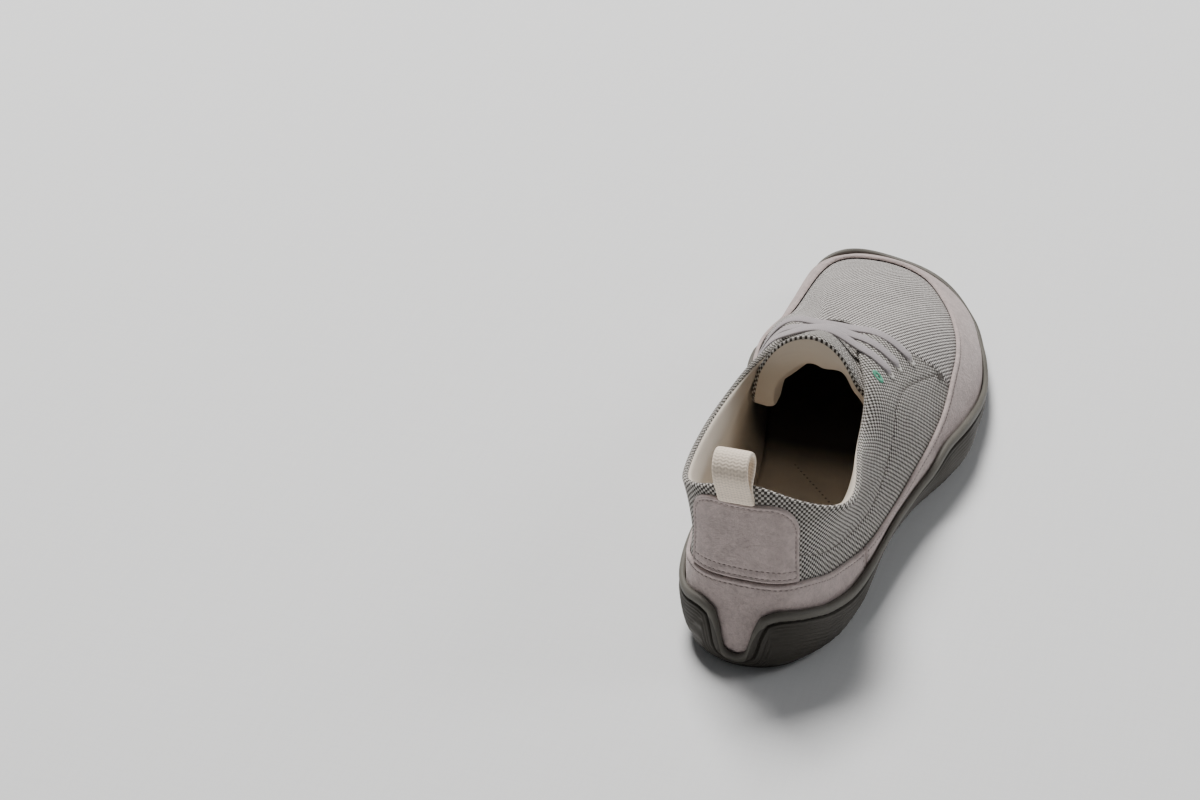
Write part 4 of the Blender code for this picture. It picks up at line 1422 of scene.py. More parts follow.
@dataclass
class HeelPatch:
    """The suede patch over the back of the heel, with its stitched border."""

    stitch_in: float = 1.7
    strip: float = 4.6
    rows_over_band: tuple[float, float] = (2.1, 5.0)
    # Millimetres to a whole way round, near the heel.
    per_t: float = 690.0
    wide: int = 121
    high: int = 70

    def top(self, t: Points) -> Points:
        """The patch's top edge, as heights in millimetres."""
        corner = np.clip((np.abs(t) / PATCH_HALF - 0.35) / 0.65, 0, 1)
        return PATCH_TOP - PATCH_ROUND * (1 - np.sqrt(1 - 0.98 * corner**2))

    def border(self, inset: float) -> tuple[Points, Points]:
        """The border line moved inward, as (t, s).

        Args:
            inset: How far inside the edge, in millimetres.

        Returns:
            The line's t and s, from the lower outer corner over the top.
        """
        t = np.sin(np.linspace(-1, 1, 161) * math.pi / 2) * PATCH_HALF
        flat = np.stack([t * self.per_t, self.top(t)], 1)
        low = BAND_LINE(np.array([PATCH_HALF]))[0]
        side = np.linspace(low, flat[0, 1], 30, endpoint=False)
        left = np.stack([np.full(30, -PATCH_HALF * self.per_t), side], 1)
        line = np.vstack([left, flat, (left * (-1, 1))[::-1]])
        tangent = unit(np.gradient(line, axis=0))
        line = line + np.stack([tangent[:, 1], -tangent[:, 0]], 1) * inset
        line = line[line[:, 1] > low + 0.4]
        t = line[:, 0] / self.per_t
        return t, LAST.share_at(np.mod(t, 1.0), line[:, 1], SUEDE_OUTER)

    def build(self) -> bpy.types.Object:
        """Makes the patch."""
        t = np.sin(np.linspace(-1, 1, self.wide) * math.pi / 2) * PATCH_HALF
        low = LAST.share_at(np.mod(t, 1), BAND_LINE(t) + 0.45, SUEDE_OUTER)
        high = LAST.share_at(np.mod(t, 1), self.top(t), SUEDE_OUTER)
        k = (1 - np.cos(np.linspace(0, 1, self.high) * math.pi)) / 2
        s = low + (high - low) * k[:, None]
        base = LAST.skin(t[None, :], s, SUEDE_OUTER)
        edge = np.vstack([base[0], base[1:, -1], base[-1, ::-1], base[::-1, 0]])
        gap = distance_to(base, edge)
        offset = turned_edge(gap, SUEDE_INNER + 0.2, SUEDE_OUTER, 0.8)
        offset = offset + 0.15 * bell(gap, 0.9, 0.6) - 0.26 * bell(gap, self.stitch_in, 0.4)
        below = lengths(base, 0)
        offset = offset - 0.3 * bell(below, self.strip, 0.35) * (gap > self.stitch_in + 0.6)
        outer = LAST.skin(t[None, :], s, offset)
        inner = LAST.skin(t[None, :], s[::-1][::6], SUEDE_INNER)
        maker = MeshMaker()
        number = maker.grid(np.concatenate([outer, inner]), loop=True)
        maker.cap(number[:, 0])
        maker.cap(number[:, -1])
        piece = maker.build("heel_patch_suede", [SUEDE])
        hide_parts("heel_patch")
        return piece

    def stitches(self) -> Stitching:
        """The border's stitches and the row along the bottom."""
        rows = suede_stitching("patch_stitches")
        t, s = self.border(self.stitch_in)
        rows.row(*path(t, s, SUEDE_OUTER - STITCH_SINK))
        t = np.linspace(-PATCH_HALF + 0.003, PATCH_HALF - 0.003, 60)
        for above in self.rows_over_band:
            s = LAST.share_at(np.mod(t, 1), BAND_LINE(t) + above, SUEDE_OUTER)
            rows.row(*path(t, s, SUEDE_OUTER - STITCH_SINK))
        return rows


@dataclass
class Eyelets:
    """The stitched oval eyelets and the cutters for their holes."""

    half_long: float = 1.75
    half_short: float = 0.95
    ring: float = 0.95
    stitch_count: int = 26

    def places(self) -> list[tuple[float, float]]:
        """The (t, s) of every eyelet, outer side first, from the back forward."""
        found = []
        for side, guess in ((1, 0.24), (-1, 0.75)):
            for x, y in EYELETS:
                x = side * x + (EYELET_SHIFT if side < 0 else 0.0)
                found.append(LAST.locate(x * MM, y * MM, guess, 0.8))
        return found

    def axes(self, t: float, s: float) -> tuple[Points, Points, Points, Points]:
        """The centre, normal, long way and short way of one eyelet."""
        at_t, at_s = np.array([t]), np.array([s])
        centre = LAST.ribs(at_t, at_s)[0]
        normal = LAST.normals(at_t, at_s)[0]
        across = unit(np.cross(normal, (0, 1, 0)))
        return centre, normal, across, np.cross(normal, across)

    def cutters(self) -> list[bpy.types.Object]:
        """Oval prisms that cut the holes."""
        made = []
        turn = np.linspace(0, 2 * math.pi, 20, endpoint=False)[:, None]
        for number, (t, s) in enumerate(self.places()):
            centre, normal, across, along = self.axes(t, s)
            oval = np.cos(turn) * across * self.half_long * MM
            oval = oval + np.sin(turn) * along * self.half_short * MM
            rows = np.stack([centre + oval - normal * 6 * MM, centre + oval + normal * 5 * MM])
            maker = MeshMaker()
            pattern = np.zeros((2, 21, 2))
            index = maker.grid(rows, pattern, ring=True)
            maker.cap(index[0])
            maker.cap(index[1])
            made.append(maker.build(f"eyelet_cutter_{number}", [LINING]))
        return made

    def cut(self, pieces: Sequence[bpy.types.Object]) -> None:
        """Cuts the holes through the pieces and removes the cutters."""
        cutters = self.cutters()
        for piece in pieces:
            for number, cutter in enumerate(cutters):
                made = piece.modifiers.new(f"hole_{number}", "BOOLEAN")
                made.operation = "DIFFERENCE"
                made.solver = "FAST"
                made.object = cutter
            graph = bpy.context.evaluated_depsgraph_get()
            mesh = bpy.data.meshes.new_from_object(piece.evaluated_get(graph))
            piece.modifiers.clear()
            piece.data = mesh
        for cutter in cutters:
            bpy.data.objects.remove(cutter)

    def stitches(self, lift: float) -> list[Stitching]:
        """The stitched rims, the top one on each side in green.

        Args:
            lift: How far the cloth's face is outside the form, in millimetres.

        Returns:
            The green and the pale stitches.
        """
        green = Stitching(
            "eyelet_stitches_top", GREEN_THREAD, length=1.7, width=0.8, thickness=0.9
        )
        pale = Stitching("eyelet_stitches", PALE_THREAD, length=1.5, width=0.75, thickness=0.8)
        turn = np.linspace(0, 2 * math.pi, self.stitch_count, endpoint=False)[:, None]
        for number, (t, s) in enumerate(self.places()):
            centre, normal, across, along = self.axes(t, s)
            long = self.half_long + self.ring / 2
            short = self.half_short + self.ring / 2
            away = np.cos(turn) * across / short + np.sin(turn) * along / long
            spot = np.cos(turn) * across * long + np.sin(turn) * along * short
            points = centre + spot * MM + normal * (lift + 0.3) * MM
            rows = green if number % 4 == 0 else pale
            rows.lay(points, away, np.broadcast_to(normal, points.shape))
        return [green, pale]


@dataclass
class Upper:
    """The woven upper: the vamp with the lining, and the quarters over it."""

    lift: float = 0.15
    under: float = -0.6
    puff: float = 1.0
    turn_in: float = 1.0
    rows_out: int = 84
    columns: int = 421

    def front_edge(self, s: Points) -> Points:
        """The quarter's front edge at each s, as t."""
        at, value = zip(*QUARTER_EDGE)
        return np.interp(s, at, value)

    def seam(self, t: Points) -> Points:
        """The s of the seam under the padded collar."""
        at, value = zip(*COLLAR_SEAM)
        return np.interp(from_heel(t), at, value)

    def vamp_places(self, points: Points) -> Points:
        """Pattern places for the vamp, from its lengths across and along.

        Args:
            points: Points of the vamp's outer face.

        Returns:
            Places on the cloth, in millimetres.
        """
        t = np.linspace(0.2, 0.8, 240)
        s = np.linspace(0.15, 1.0, 70)
        rows = LAST.skin(t[:, None], s[None, :])
        high, wide = rows.shape[:2]
        index = np.arange(high * wide).reshape(high, wide)
        quads = np.stack([index[:-1, :-1], index[1:, :-1], index[1:, 1:], index[:-1, 1:]], -1)
        tree = BVHTree.FromPolygons(rows.reshape(-1, 3).tolist(), quads.reshape(-1, 4).tolist())
        xs = np.linspace(-0.050, 0.050, 101)
        ys = np.linspace(0.125, 0.262, 138)
        z = np.full((len(ys), len(xs)), np.nan)
        for i, y in enumerate(ys):
            for j, x in enumerate(xs):
                hit = tree.ray_cast(Vector((x, y, 0.2)), Vector((0, 0, -1)))
                if hit[0] is not None:
                    z[i, j] = hit[0].z
        for i in range(len(ys)):
            good = ~np.isnan(z[i])
            if good.any():
                z[i] = np.interp(xs, xs[good], z[i][good])
        good = ~np.isnan(z[:, 0])
        for j in range(len(xs)):
            z[:, j] = np.interp(ys, ys[good], z[good, j])
        step_x, step_y = xs[1] - xs[0], ys[1] - ys[0]
        across = np.cumsum(np.hypot(step_x, np.gradient(z, axis=1)), 1)
        across = (across - across[:, [len(xs) // 2]]) / MM
        along = np.cumsum(np.hypot(step_y, np.gradient(z, axis=0)), 0) / MM
        column = np.clip((points[..., 0] - xs[0]) / step_x, 0, len(xs) - 1.001)
        row = np.clip((points[..., 1] - ys[0]) / step_y, 0, len(ys) - 1.001)
        i, j = row.astype(int), column.astype(int)
        p, q = row - i, column - j

        def read(table: Points) -> Points:
            """The table's value at each point."""
            low = table[i, j] * (1 - q) + table[i, j + 1] * q
            high_row = table[i + 1, j] * (1 - q) + table[i + 1, j + 1] * q
            return low * (1 - p) + high_row * p

        return np.stack([read(across), read(along)], -1)

    def build_body(self) -> bpy.types.Object:
        """Makes the vamp and the lining as one hollow wall."""
        t = np.linspace(0, 1, 480, endpoint=False)
        size = LAST.rib_length(t)
        at = from_heel(t)
        s_top = 1 - (1.75 - 1.15 * ease(at, 0.300, 0.308)) / size
        k = np.linspace(0, 1, self.rows_out)[:, None]
        s_out = k * s_top
        inside = self.front_edge(s_out) - at
        offset = -0.1 + (self.under + 0.1) * ease(inside, -0.004, 0.002)
        outer = LAST.skin(t[None, :], s_out, offset)
        top_in = offset[-1]
        turn = np.linspace(0, math.pi, 9)[1:-1, None]
        edge = WALL + 0.6 * (1 - ease(at, 0.300, 0.308))
        middle = (top_in - edge) / 2
        radius = (top_in + edge) / 2
        crown = LAST.skin(t[None, :], s_top, middle + radius * np.cos(turn))
        upward = unit(LAST.ribs(t, s_top) - LAST.ribs(t, s_top - 0.01))
        crown = crown + upward * (np.sin(turn) * radius)[..., None] * MM
        s_in = s_top * (1 - np.linspace(0, 1, 50)[:, None])
        deep = (s_top - s_in) * size
        pad = 0.6 * bell(deep, 6.0, 4.0) * (1 - ease(at, 0.16, 0.24))
        pad = pad + (edge - WALL) * (1 - ease(deep, 6.0, 16.0))
        inner = LAST.skin(t[None, :], s_in, -WALL - pad)
        inner[..., 2] = np.maximum(inner[..., 2], FEATHER * MM + LAST.spring(t))
        rows = np.concatenate([outer, crown, inner])
        pattern = ring_pattern(rows)
        face = np.concatenate([outer, outer[:, :1]], 1)
        pattern[: self.rows_out] = self.vamp_places(face)
        slot = np.where(np.arange(len(rows)) <= self.rows_out, 0, 1)
        maker = MeshMaker()
        maker.grid(rows, pattern, ring=True, loop=True, slot=slot)
        piece = maker.build("vamp_and_lining", [VAMP_WEAVE, LINING])
        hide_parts("upper")
        return piece

    def quarter_offset(self, t: Points, s: Points) -> Points:
        """The quarters' outer face: the padded collar, its seam and its edges."""
        size = LAST.rib_length(t)
        deep = (1 - s) * size
        seam = (1 - self.seam(t)) * size
        share = np.clip(deep / np.maximum(seam, 1.0), 0, 1)
        pad = np.sin(math.pi * share**0.8) * self.puff
        at = from_heel(t)
        pad = pad * (1 - 0.75 * ease(at, 0.17, 0.23)) * (1 - 0.6 * ease(0.05 - at, 0.0, 0.03))
        groove = 0.38 * bell(deep - seam, 0.0, 0.75)
        return self.lift + pad - groove

    def build_quarters(self) -> bpy.types.Object:
        """Makes the quarters, in one sheet round the heel."""
        c = np.linspace(-1, 1, self.columns)
        low_s = np.linspace(0.08, 0.94, 78, endpoint=False)
        rows_s = np.concatenate([low_s, np.linspace(0.94, 1.0, 7)])
        t = self.front_edge(rows_s)[:, None] * c[None, :]
        size = LAST.rib_length(c * 0.3)
        s = rows_s[:, None] - (rows_s[:, None] > 0.5) * 0.5 / size[None, :] * rows_s[:, None]
        flat_t, flat_s = t.ravel(), s.ravel()
        offset = self.quarter_offset(flat_t, flat_s).reshape(t.shape)
        outer_base = LAST.skin(t, s, self.lift)
        end = from_ends(outer_base)
        drop = turned_edge(end, 0.0, 1.0, 0.5)
        offset = self.under + 0.1 + (offset - self.under - 0.1) * drop
        outer = LAST.skin(t, s, offset)
        top_t, top_s, top = t[-1], s[-1], offset[-1]
        turn = np.linspace(0, math.pi, 8)[1:-1, None]
        low = -WALL + 0.05
        middle, radius = (top + low) / 2, (top - low) / 2
        crown = LAST.skin(top_t[None, :], top_s[None, :], middle + radius * np.cos(turn))
        upward = unit(LAST.ribs(top_t, top_s) - LAST.ribs(top_t, top_s - 0.01))
        crown = crown + upward * (np.sin(turn) * radius * 0.75)[..., None] * MM
        under = LAST.skin(t[::-1][::7], s[::-1][::7], self.under + 0.1)
        under[0] = LAST.skin(top_t, top_s - self.turn_in / size, low)
        rows = np.concatenate([outer, crown, under])
        run = lengths(rows, 1)
        run = run - run[:, [self.columns // 2]]
        pattern = np.stack([run, lengths(rows, 0)], -1)
        maker = MeshMaker()
        number = maker.grid(rows, pattern, loop=True)
        maker.cap(number[:, 0])
        maker.cap(number[:, -1])
        piece = maker.build("quarters", [QUARTER_WEAVE])
        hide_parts("upper")
        return piece

    def stitches(self) -> Stitching:
        """The stitches of the collar seam and of the quarters' front edges."""
        rows = Stitching(
            "quarter_stitches", SEAM_THREAD, length=1.5, width=0.38, thickness=0.35, pitch=2.2
        )
        for side in (1, -1):
            t = np.linspace(0.033, 0.298, 240)
            s = self.seam(t)
            rows.row(*path(side * t, s, self.lift - 0.22))
            s = np.linspace(0.36, 0.97, 120)
            t = self.front_edge(s) - 1.4 / 480
            rows.row(*path(side * t, s, self.lift + 0.12))
        return rows

    def bartacks(self) -> Stitching:
        """The short dense rows that lock the seams at the quarters' corners."""
        rows = Stitching("bartacks", SEAM_THREAD, length=2.6, width=0.5, thickness=0.6)
        for side in (1, -1):
            t = np.linspace(0.2915, 0.2990, 9)
            s = np.full(9, 0.503)
            points, normals = path(side * t, s, self.lift + 0.2)
            up = LAST.skin(side * t, s + 0.01) - LAST.skin(side * t, s)
            rows.lay(points, up, normals)
        return rows


@dataclass
class Inlay:
    """The removable insole with a rounded edge and a printed row of dots."""

    dots_from: Place = (-10.2, 120.5, 6.95)
    dots_to: Place = (10.0, 98.7, 6.85)

    def build(self) -> bpy.types.Object:
        """Makes the insole."""
        t = np.linspace(0, 1, 300, endpoint=False)
        out = LAST.outward(t)
        spring = LAST.spring(t)
        foot = LAST.ribs(t, 0 * t)

        def inner(reach: float, height: float) -> Points:
            """A ring inside the feather line, over the sole plate."""
            row = foot + out * reach * MM
            row[:, 2] = (FEATHER + height) * MM + spring
            return row

        def beside(height: float) -> Points:
            """A ring against the lining."""
            level = LAST.share_at(t, FEATHER + height + spring / MM, -WALL)
            row = LAST.skin(t, level, -WALL + 0.1)
            row[:, 2] = (FEATHER + height) * MM + spring
            return row

        rows = np.array([
            inner(-14.0, 0.0), inner(-3.2, 0.0), beside(0.4), beside(1.5), beside(2.1),
            inner(-2.8, 2.45), inner(-4.5, 2.55), inner(-7.0, 2.4), inner(-10.0, 2.15),
            inner(-14.0, 1.9),
        ])
        wrapped = np.concatenate([rows, rows[:, :1]], 1)
        maker = MeshMaker()
        number = maker.grid(rows, wrapped[..., :2] / MM, ring=True)
        maker.across(number[0], rows[0], 2)
        maker.across(number[-1], rows[-1], 8)
        piece = maker.build("insole_inlay", [INLAY])
        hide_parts("insole")
        return piece

    def dots(self) -> Stitching:
        """The row of dots along the heel of the insole."""
        rows = Stitching(
            "insole_dots", CREAM_THREAD, length=1.1, width=0.9, thickness=0.3, pitch=2.4
        )
        share = np.linspace(0, 1, 30)[:, None]
        line = np.array(self.dots_from) * (1 - share) + np.array(self.dots_to) * share
        rows.row(line * MM, np.broadcast_to((0.0, 0.0, 1.0), line.shape))
        return rows


class Tunnel:
    """Looks outward from an axis along the foot at a surface around it."""

    def __init__(self, steps: Points, offset: float) -> None:
        """Lays out the surface from its shares of the way up and its offset."""
        t = np.linspace(0, 1, 360, endpoint=False)
        rows = LAST.skin(t[None, :], steps[:, None], offset)
        high, wide = rows.shape[:2]
        index = np.arange(high * wide).reshape(high, wide)
        after = np.roll(index, -1, 1)
        faces = np.stack([index[:-1], after[:-1], after[1:], index[1:]], -1).reshape(-1, 4)
        self.tree = BVHTree.FromPolygons(rows.reshape(-1, 3).tolist(), faces.tolist())

    def radius(self, y: float, angle: float) -> float | None:
        """The distance out to the surface, or None where it is open."""
        way = Vector((math.cos(angle), 0.0, math.sin(angle)))
        hit = self.tree.ray_cast(Vector((0.0, y, AXIS_HEIGHT)), way)
        return None if hit[0] is None else hit[3]

    def arch(self, y: float, crown: float, angles: Points, clear: float) -> Points:
        """Radii of a section inside the surface that spans its opening.

        Args:
            y: The section's place along the foot.
            crown: Height of the section's top over the axis.
            angles: Angles from the outer horizontal, in radians.
            clear: How far inside the surface the section stays, in metres.

        Returns:
            One radius for each angle.
        """
        fine = np.radians(np.linspace(8, 172, 165))
        seen = [(a, self.radius(y, a)) for a in fine]
        known = [(a, r - clear) for a, r in seen if r is not None]
        middle = math.pi / 2
        outer = [k for k in known if k[0] < middle]
        inner = [k for k in known if k[0] > middle]
        if len(outer) + len(inner) > 160:
            return np.interp(angles, *zip(*known))
        knots = [*outer[:-3:3], outer[-1], (middle, crown), inner[0], *inner[3::3]]
        at = np.array([k[0] for k in knots])
        r = np.array([k[1] for k in knots])
        slope = np.gradient(r, at)
        slope[np.searchsorted(at, middle)] = 0.0
        i = np.clip(np.searchsorted(at, angles, side="right") - 1, 0, len(at) - 2)
        step = at[i + 1] - at[i]
        u = (angles - at[i]) / step
        rise = (3 - 2 * u) * u * u
        bow = u * (1 - u) ** 2 * step * slope[i] + u * u * (u - 1) * step * slope[i + 1]
        full = r[i] * (1 - rise) + r[i + 1] * rise + bow
        inside = (angles > outer[-1][0]) & (angles < inner[0][0])
        return np.where(inside, full, np.interp(angles, *zip(*known)))


def arch_points(y: Points, angles: Points, radii: Points) -> Points:
    """Points at the given radii about the axis along the foot."""
    y, angles, radii = np.broadcast_arrays(y, angles, radii)
    return np.stack([np.cos(angles) * radii, y, AXIS_HEIGHT + np.sin(angles) * radii], -1)


@dataclass
class Tongue:
    """The padded tongue, whose weave turns in over its top edge."""

    rows: int = 64
    cells: int = 72
    thick: float = 3.2
    pad: float = 9.5
    corner: float = 5.5
    clear: float = 1.2
    edge_round: float = 1.7
    end_round: float = 6.0

    def crown(self, y: Points) -> Points:
        """Height of the tongue's top over the axis at each y."""
        at = [a[0] * LENGTH for a in TONGUE_ARCHES]
        return np.interp(y, at, [a[1] * INSTEP_HEIGHT - AXIS_HEIGHT for a in TONGUE_ARCHES])

    def grid(self) -> tuple[Points, Points, Points]:
        """The outer face: places along, angles and radii, each (rows, cells)."""
        tunnel = Tunnel(np.linspace(0.3, 1.0, 24), -WALL)
        first, last = TONGUE_ARCHES[0][0] * LENGTH, TONGUE_ARCHES[-1][0] * LENGTH
        k = np.linspace(0, 1, self.rows)
        ys = first + (last - first) * (0.35 * k + 0.65 * k**2)
        at = np.array([a[0] * LENGTH for a in TONGUE_ARCHES])
        ends = np.array([a[2] for a in TONGUE_ARCHES])
        crown = self.crown(ys)
        kernel = np.array([1, 2, 3, 2, 1]) / 9
        crown[2:-2] = np.convolve(crown, kernel, "valid")
        angles, radii = [], []
        for y, top in zip(ys, crown):
            near = np.clip((y - first) / (self.corner * MM), 0, 1)
            cut = self.corner * (1 - math.sqrt(max(1 - (1 - near) ** 2, 0.0)))
            low = math.radians(np.interp(y, at, ends)) + cut * MM / 0.030
            row = np.linspace(low, math.pi - low, self.cells)
            angles.append(row)
            radii.append(tunnel.arch(y, top, row, self.clear * MM))
        along = np.broadcast_to(ys[:, None], (self.rows, self.cells))
        return along, np.array(angles), np.array(radii)

    def build(self) -> bpy.types.Object:
        """Makes the tongue."""
        y, angles, radii = self.grid()
        outer = arch_points(y, angles, radii)
        side = from_ends(outer)
        back = lengths(outer, 0)
        gap = np.minimum(side, back)
        full = dome(gap / self.edge_round)
        mid = radii - self.thick / 2 * MM
        half = self.thick / 2 * MM * full
        turn = np.cos(angles)
        reach = 3.0 + 12.0 * ease(turn, 0.15, 0.75)
        swell = dome(back / reach) * dome(side / self.end_round)
        swell = swell * (1 - ease(back, 12.0, 34.0))
        swell = swell * (1 - 0.92 * ease(turn, 0.10, 0.50) - 0.30 * ease(-turn, 0.2, 0.7))
        top = arch_points(y, angles, mid + half)
        low = arch_points(y, angles, mid - half - self.pad * swell * MM)
        run = lengths(outer, 1)
        pattern = np.stack([run - run[:, [self.cells // 2]], back], -1)
        maker = MeshMaker()
        a = maker.grid(top, pattern)
        b = maker.grid(low, pattern * (1, -1), slot=1)
        maker.quads(np.stack([a[-1], b[-1]]), slot=1)
        piece = maker.build("tongue_padded", [TONGUE_WEAVE, LINING])
        work = bmesh.new()
        work.from_mesh(piece.data)
        bmesh.ops.remove_doubles(work, verts=work.verts, dist=1e-6)
        bmesh.ops.recalc_face_normals(work, faces=work.faces)
        work.to_mesh(piece.data)
        work.free()
        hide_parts("tongue")
        return piece


@dataclass
class Laces:
    """The flat lace where it shows: three bars, each run through its eyelets."""

    width: float = 4.3
    thick: float = 1.2
    sides: int = 20
    corners: float = 0.75
    # Heights over the cloth at which the lace passes through an eyelet.
    through: tuple[float, ...] = (-3.2, -0.8, 0.7)
    bars: tuple[tuple[str, int, int], ...] = (
        ("lace_bar_back", 1, 5), ("lace_bar_middle", 2, 6), ("lace_bar_front", 3, 7),
    )

    def route(self, eyelets: Eyelets, pair: tuple[int, int]) -> tuple[Points, Points]:
        """The lace's middle line between two eyelets and the way up from it.

        Args:
            eyelets: The eyelets that it runs through.
            pair: Their numbers.

        Returns:
            Points and unit normals.
        """
        tunnel = Tunnel(np.linspace(0.5, 1.0, 22), self.lift)
        tongue = Tongue()
        ends = [eyelets.axes(*eyelets.places()[k])[:2] for k in pair]
        turn = [math.atan2(e[0][2] - AXIS_HEIGHT, e[0][0]) for e in ends]
        angles = np.linspace(turn[0] + 0.07, turn[1] - 0.07, 40)
        share = np.linspace(0, 1, 40)
        y = ends[0][0][1] * (1 - share) + ends[1][0][1] * share
        top = []
        for a, place in zip(angles, y):
            crown = float(tongue.crown(np.array([place]))[0])
            r = tunnel.arch(place, crown, np.array([a]), 0.0)[0]
            top.append(arch_points(place, a, r + (0.3 + self.thick / 2) * MM))
        top = np.array(top)
        for _ in range(3):
            top[1:-1] = (top[:-2] + 2 * top[1:-1] + top[2:]) / 4
        start = [ends[0][0] + ends[0][1] * up * MM for up in self.through]
        end = [ends[1][0] + ends[1][1] * up * MM for up in self.through[::-1]]
        line = resample(np.array([*start, *top, *end]), 0.35 * MM)
        for _ in range(4):
            line[1:-1] = (line[:-2] + 2 * line[1:-1] + line[2:]) / 4
        line = resample(line, 0.6 * MM)
        tangent = unit(np.gradient(line, axis=0))
        flat = np.broadcast_to((0.0, 1.0, 0.0), line.shape)
        side = unit(flat - tangent * (flat * tangent).sum(1, keepdims=True))
        return line, np.cross(tangent, side)

    @property
    def lift(self) -> float:
        """The quarters' face, in millimetres outside the form."""
        return Upper().lift

    def build(self, eyelets: Eyelets) -> list[bpy.types.Object]:
        """Makes the bars."""
        made = []
        for name, one, two in self.bars:
            line, up = self.route(eyelets, (one, two))
            tangent = unit(np.gradient(line, axis=0))
            side = np.cross(up, tangent)
            run = lengths(line[None], 1)[0]
            reach = np.minimum(run, run[-1] - run)
            open_up = ease(reach, 2.6, 9.0)
            wide = eyelets.half_long + (self.width / 2 - eyelets.half_long) * open_up
            high = eyelets.half_short + (self.thick / 2 - eyelets.half_short) * open_up
            wide, high = wide[:, None, None], high[:, None, None]
            turn = np.linspace(0, 2 * math.pi, self.sides, endpoint=False)
            flat_x = squared(np.cos(turn), self.corners)
            flat_z = squared(np.sin(turn), self.corners)
            rows = line[:, None] + side[:, None] * flat_x[None, :, None] * wide * MM
            rows = rows + up[:, None] * flat_z[None, :, None] * high * MM
            pattern = np.zeros((len(line), self.sides + 1, 2))
            pattern[..., 0] = run[:, None]
            pattern[..., 1] = np.append(flat_x, flat_x[0])[None] * self.width / 2
            maker = MeshMaker()
            number = maker.grid(rows, pattern, ring=True)
            maker.cap(number[0])
            maker.cap(number[-1])
            piece = maker.build(name.replace("lace_bar", "flat_lace"), [LACE])
            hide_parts(name)
            made.append(piece)
        return made


@dataclass
class PullLoop:
    """The loop of woven tape that stands up from the patch's top."""

    width: float = 12.6
    shift: float = -2.4
    lean: float = 0.16
    thick: float = 1.7
    back: float = 1.9
    sides: int = 36
    # Middle line of the folded tape, as (forward from the heel, height).
    line: tuple[tuple[float, float], ...] = (
        (0.0, 68.1), (-0.9, 69.6), (-1.5, 73.0), (-2.2, 76.2), (-2.2, 79.6), (-0.6, 82.6),
        (2.6, 84.6), (6.2, 84.3), (8.4, 82.0), (8.0, 79.4), (5.4, 77.2), (2.0, 75.4),
        (0.6, 73.0), (0.8, 69.6),
    )

    def build(self) -> bpy.types.Object:
        """Makes the loop."""
        knots = np.array(self.line) * MM
        knots[:, 0] += LAST.skin(np.array([0.0]), np.array([0.93]))[0, 1] - self.back * MM
        before, after = np.roll(knots, 1, 0), np.roll(knots, -1, 0)
        second = np.roll(knots, -2, 0)
        u = np.linspace(0, 1, 12, endpoint=False)[:, None, None]
        curve = 0.5 * (
            2 * knots + (after - before) * u
            + (2 * before - 5 * knots + 4 * after - second) * u**2
            + (3 * knots - before - 3 * after + second) * u**3
        )
        curve = curve.transpose(1, 0, 2).reshape(-1, 2)
        curve = resample(curve, 0.5 * MM, closed=True)
        side = unit(np.roll(curve, -1, 0) - np.roll(curve, 1, 0))
        normal = np.stack([-side[:, 1], side[:, 0]], 1)
        turn = np.linspace(0, 2 * math.pi, self.sides, endpoint=False)
        x = squared(np.cos(turn), 0.28) * self.width / 2
        z = squared(np.sin(turn), 0.5) * self.thick / 2
        flat = curve[:, None] + normal[:, None] * z[None, :, None] * MM
        above = flat[..., 1:] - self.line[0][1] * MM
        sideways = (self.shift + x)[None, :, None] * MM - self.lean * above
        rows = np.concatenate([sideways, flat], -1)
        run = lengths(np.vstack([curve, curve[:1]])[None], 1)[0]
        pattern = np.zeros((len(rows) + 1, self.sides + 1, 2))
        pattern[..., 0] = run[:, None]
        pattern[..., 1] = np.append(x, x[0])
        maker = MeshMaker()
        maker.grid(rows, pattern[:-1], ring=True, loop=True)
        piece = maker.build("pull_loop_tape", [LOOP])
        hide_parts("pull_loop")
        return piece


@dataclass(frozen=True)
class Lamp:
    """A square soft lamp that looks at the shoe."""

    name: str
    place: Place
    size: float
    power: float
    tint: Colour

    def build(self) -> None:
        """Adds the lamp."""
        data = bpy.data.lights.new(self.name, "AREA")
        data.shape = "SQUARE"
        data.size = self.size
        data.energy = self.power
        data.color = self.tint
        obj = add_object(self.name, data)
        obj.location = self.place
        way = Vector((0, 0, 0.03)) - Vector(self.place)
        obj.rotation_euler = way.to_track_quat("-Z", "Y").to_euler()


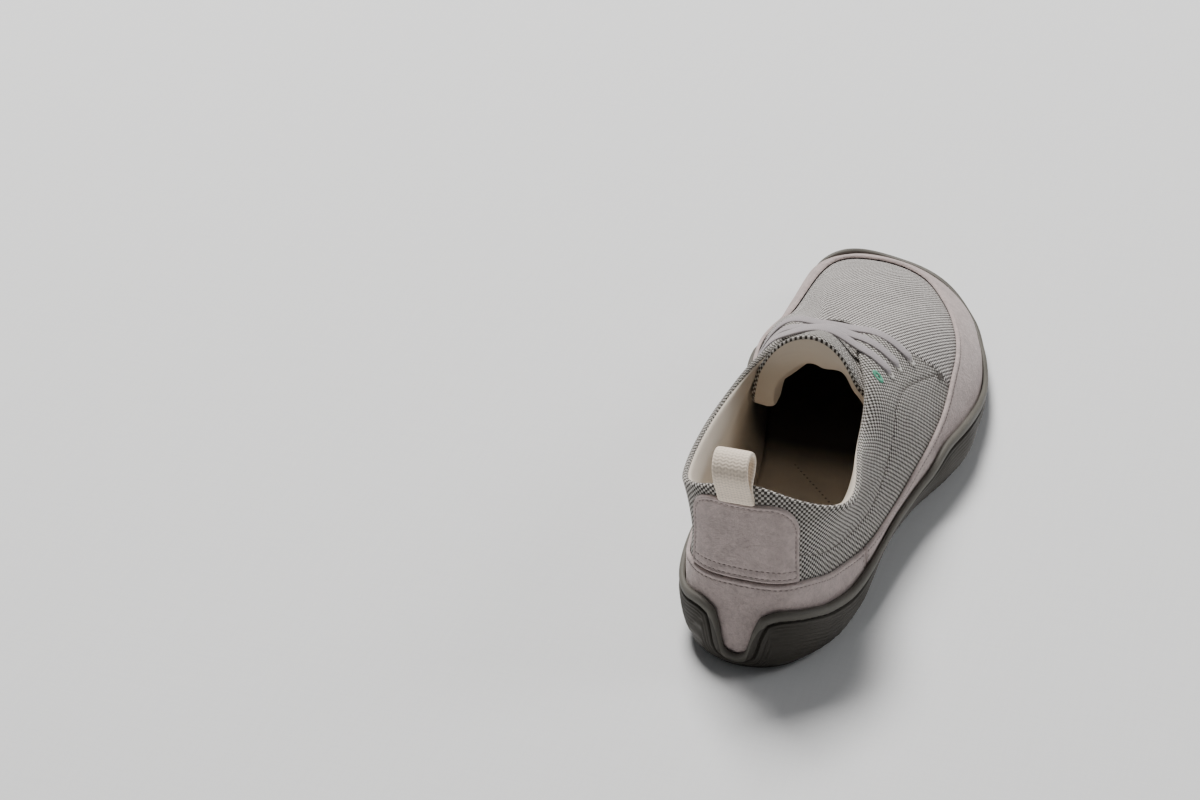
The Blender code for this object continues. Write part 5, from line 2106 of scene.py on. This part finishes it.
@dataclass
class Studio:
    """The floor, the soft light and the camera at the photo's angle."""

    azimuth: float = 0.3289
    elevation: float = 0.5787
    roll: float = -0.0164
    distance: float = 1.0396773
    target: Place = (-0.0857386, 0.1085066, 0.030)
    focal_pixels: float = 2681.3718
    frame_width: float = 1200.0
    floor_half: float = 4.0
    air: Colour = (0.95, 0.97, 1.0)
    air_strength: float = 0.105
    lamps: tuple[Lamp, ...] = (
        Lamp("key", (-0.95, 1.3, 2.7), 1.1, 158.0, (1.0, 0.985, 0.965)),
        Lamp("side", (2.0, 0.9, 1.5), 0.9, 14.0, (0.98, 0.99, 1.0)),
    )

    def build_floor(self) -> None:
        """Lays the pale floor."""
        size = self.floor_half
        mesh = bpy.data.meshes.new("floor")
        corners = [(-size, -size, 0), (size, -size, 0), (size, size, 0), (-size, size, 0)]
        mesh.from_pydata(corners, [], [(0, 1, 2, 3)])
        mesh.materials.append(FLOOR.material())
        add_object("floor", mesh)

    def build_camera(self) -> None:
        """Sets the camera at the photo's angle."""
        az, el = self.azimuth, self.elevation
        back = np.array([math.sin(az) * math.cos(el), -math.cos(az) * math.cos(el), math.sin(el)])
        right = np.array([math.cos(az), math.sin(az), 0.0])
        up = np.cross(back, right)
        x = right * math.cos(self.roll) + up * math.sin(self.roll)
        y = up * math.cos(self.roll) - right * math.sin(self.roll)
        place = np.array(self.target) + back * self.distance + SHIFT
        data = bpy.data.cameras.new("photo_camera")
        data.sensor_width = 36.0
        data.lens = data.sensor_width * self.focal_pixels / self.frame_width
        data.clip_start = 0.05
        obj = add_object("photo_camera", data)
        rows = [(x[k], y[k], back[k], place[k]) for k in range(3)]
        obj.matrix_world = Matrix([*rows, (0, 0, 0, 1)])
        bpy.context.scene.camera = obj

    def build_light(self) -> None:
        """Sets the lamps and the grey surroundings."""
        world = bpy.data.worlds.new("studio")
        world.use_nodes = True
        air = world.node_tree.nodes["Background"]
        air.inputs["Color"].default_value = (*self.air, 1.0)
        air.inputs["Strength"].default_value = self.air_strength
        bpy.context.scene.world = world
        for lamp in self.lamps:
            lamp.build()


def main() -> None:
    """Builds the studio and every piece of the shoe."""
    studio = Studio()
    studio.build_camera()
    studio.build_light()
    studio.build_floor()
    tree = StitchTree()
    eyelets = Eyelets()
    upper = Upper()
    body = upper.build_body()
    quarters = upper.build_quarters()
    eyelets.cut([body, quarters])
    sole = Outsole()
    sole.build()
    band = SuedeBand()
    band.build()
    patch = HeelPatch()
    patch.build()
    inlay = Inlay()
    inlay.build()
    Tongue().build()
    Laces().build(eyelets)
    PullLoop().build()
    rows = [sole.stitches(), band.stitches(), patch.stitches(), upper.stitches()]
    rows += [upper.bartacks(), inlay.dots(), *eyelets.stitches(upper.lift)]
    for row in rows:
        row.build(tree)


if __name__ == "__main__":
    logging.basicConfig(level=logging.INFO)
    main()
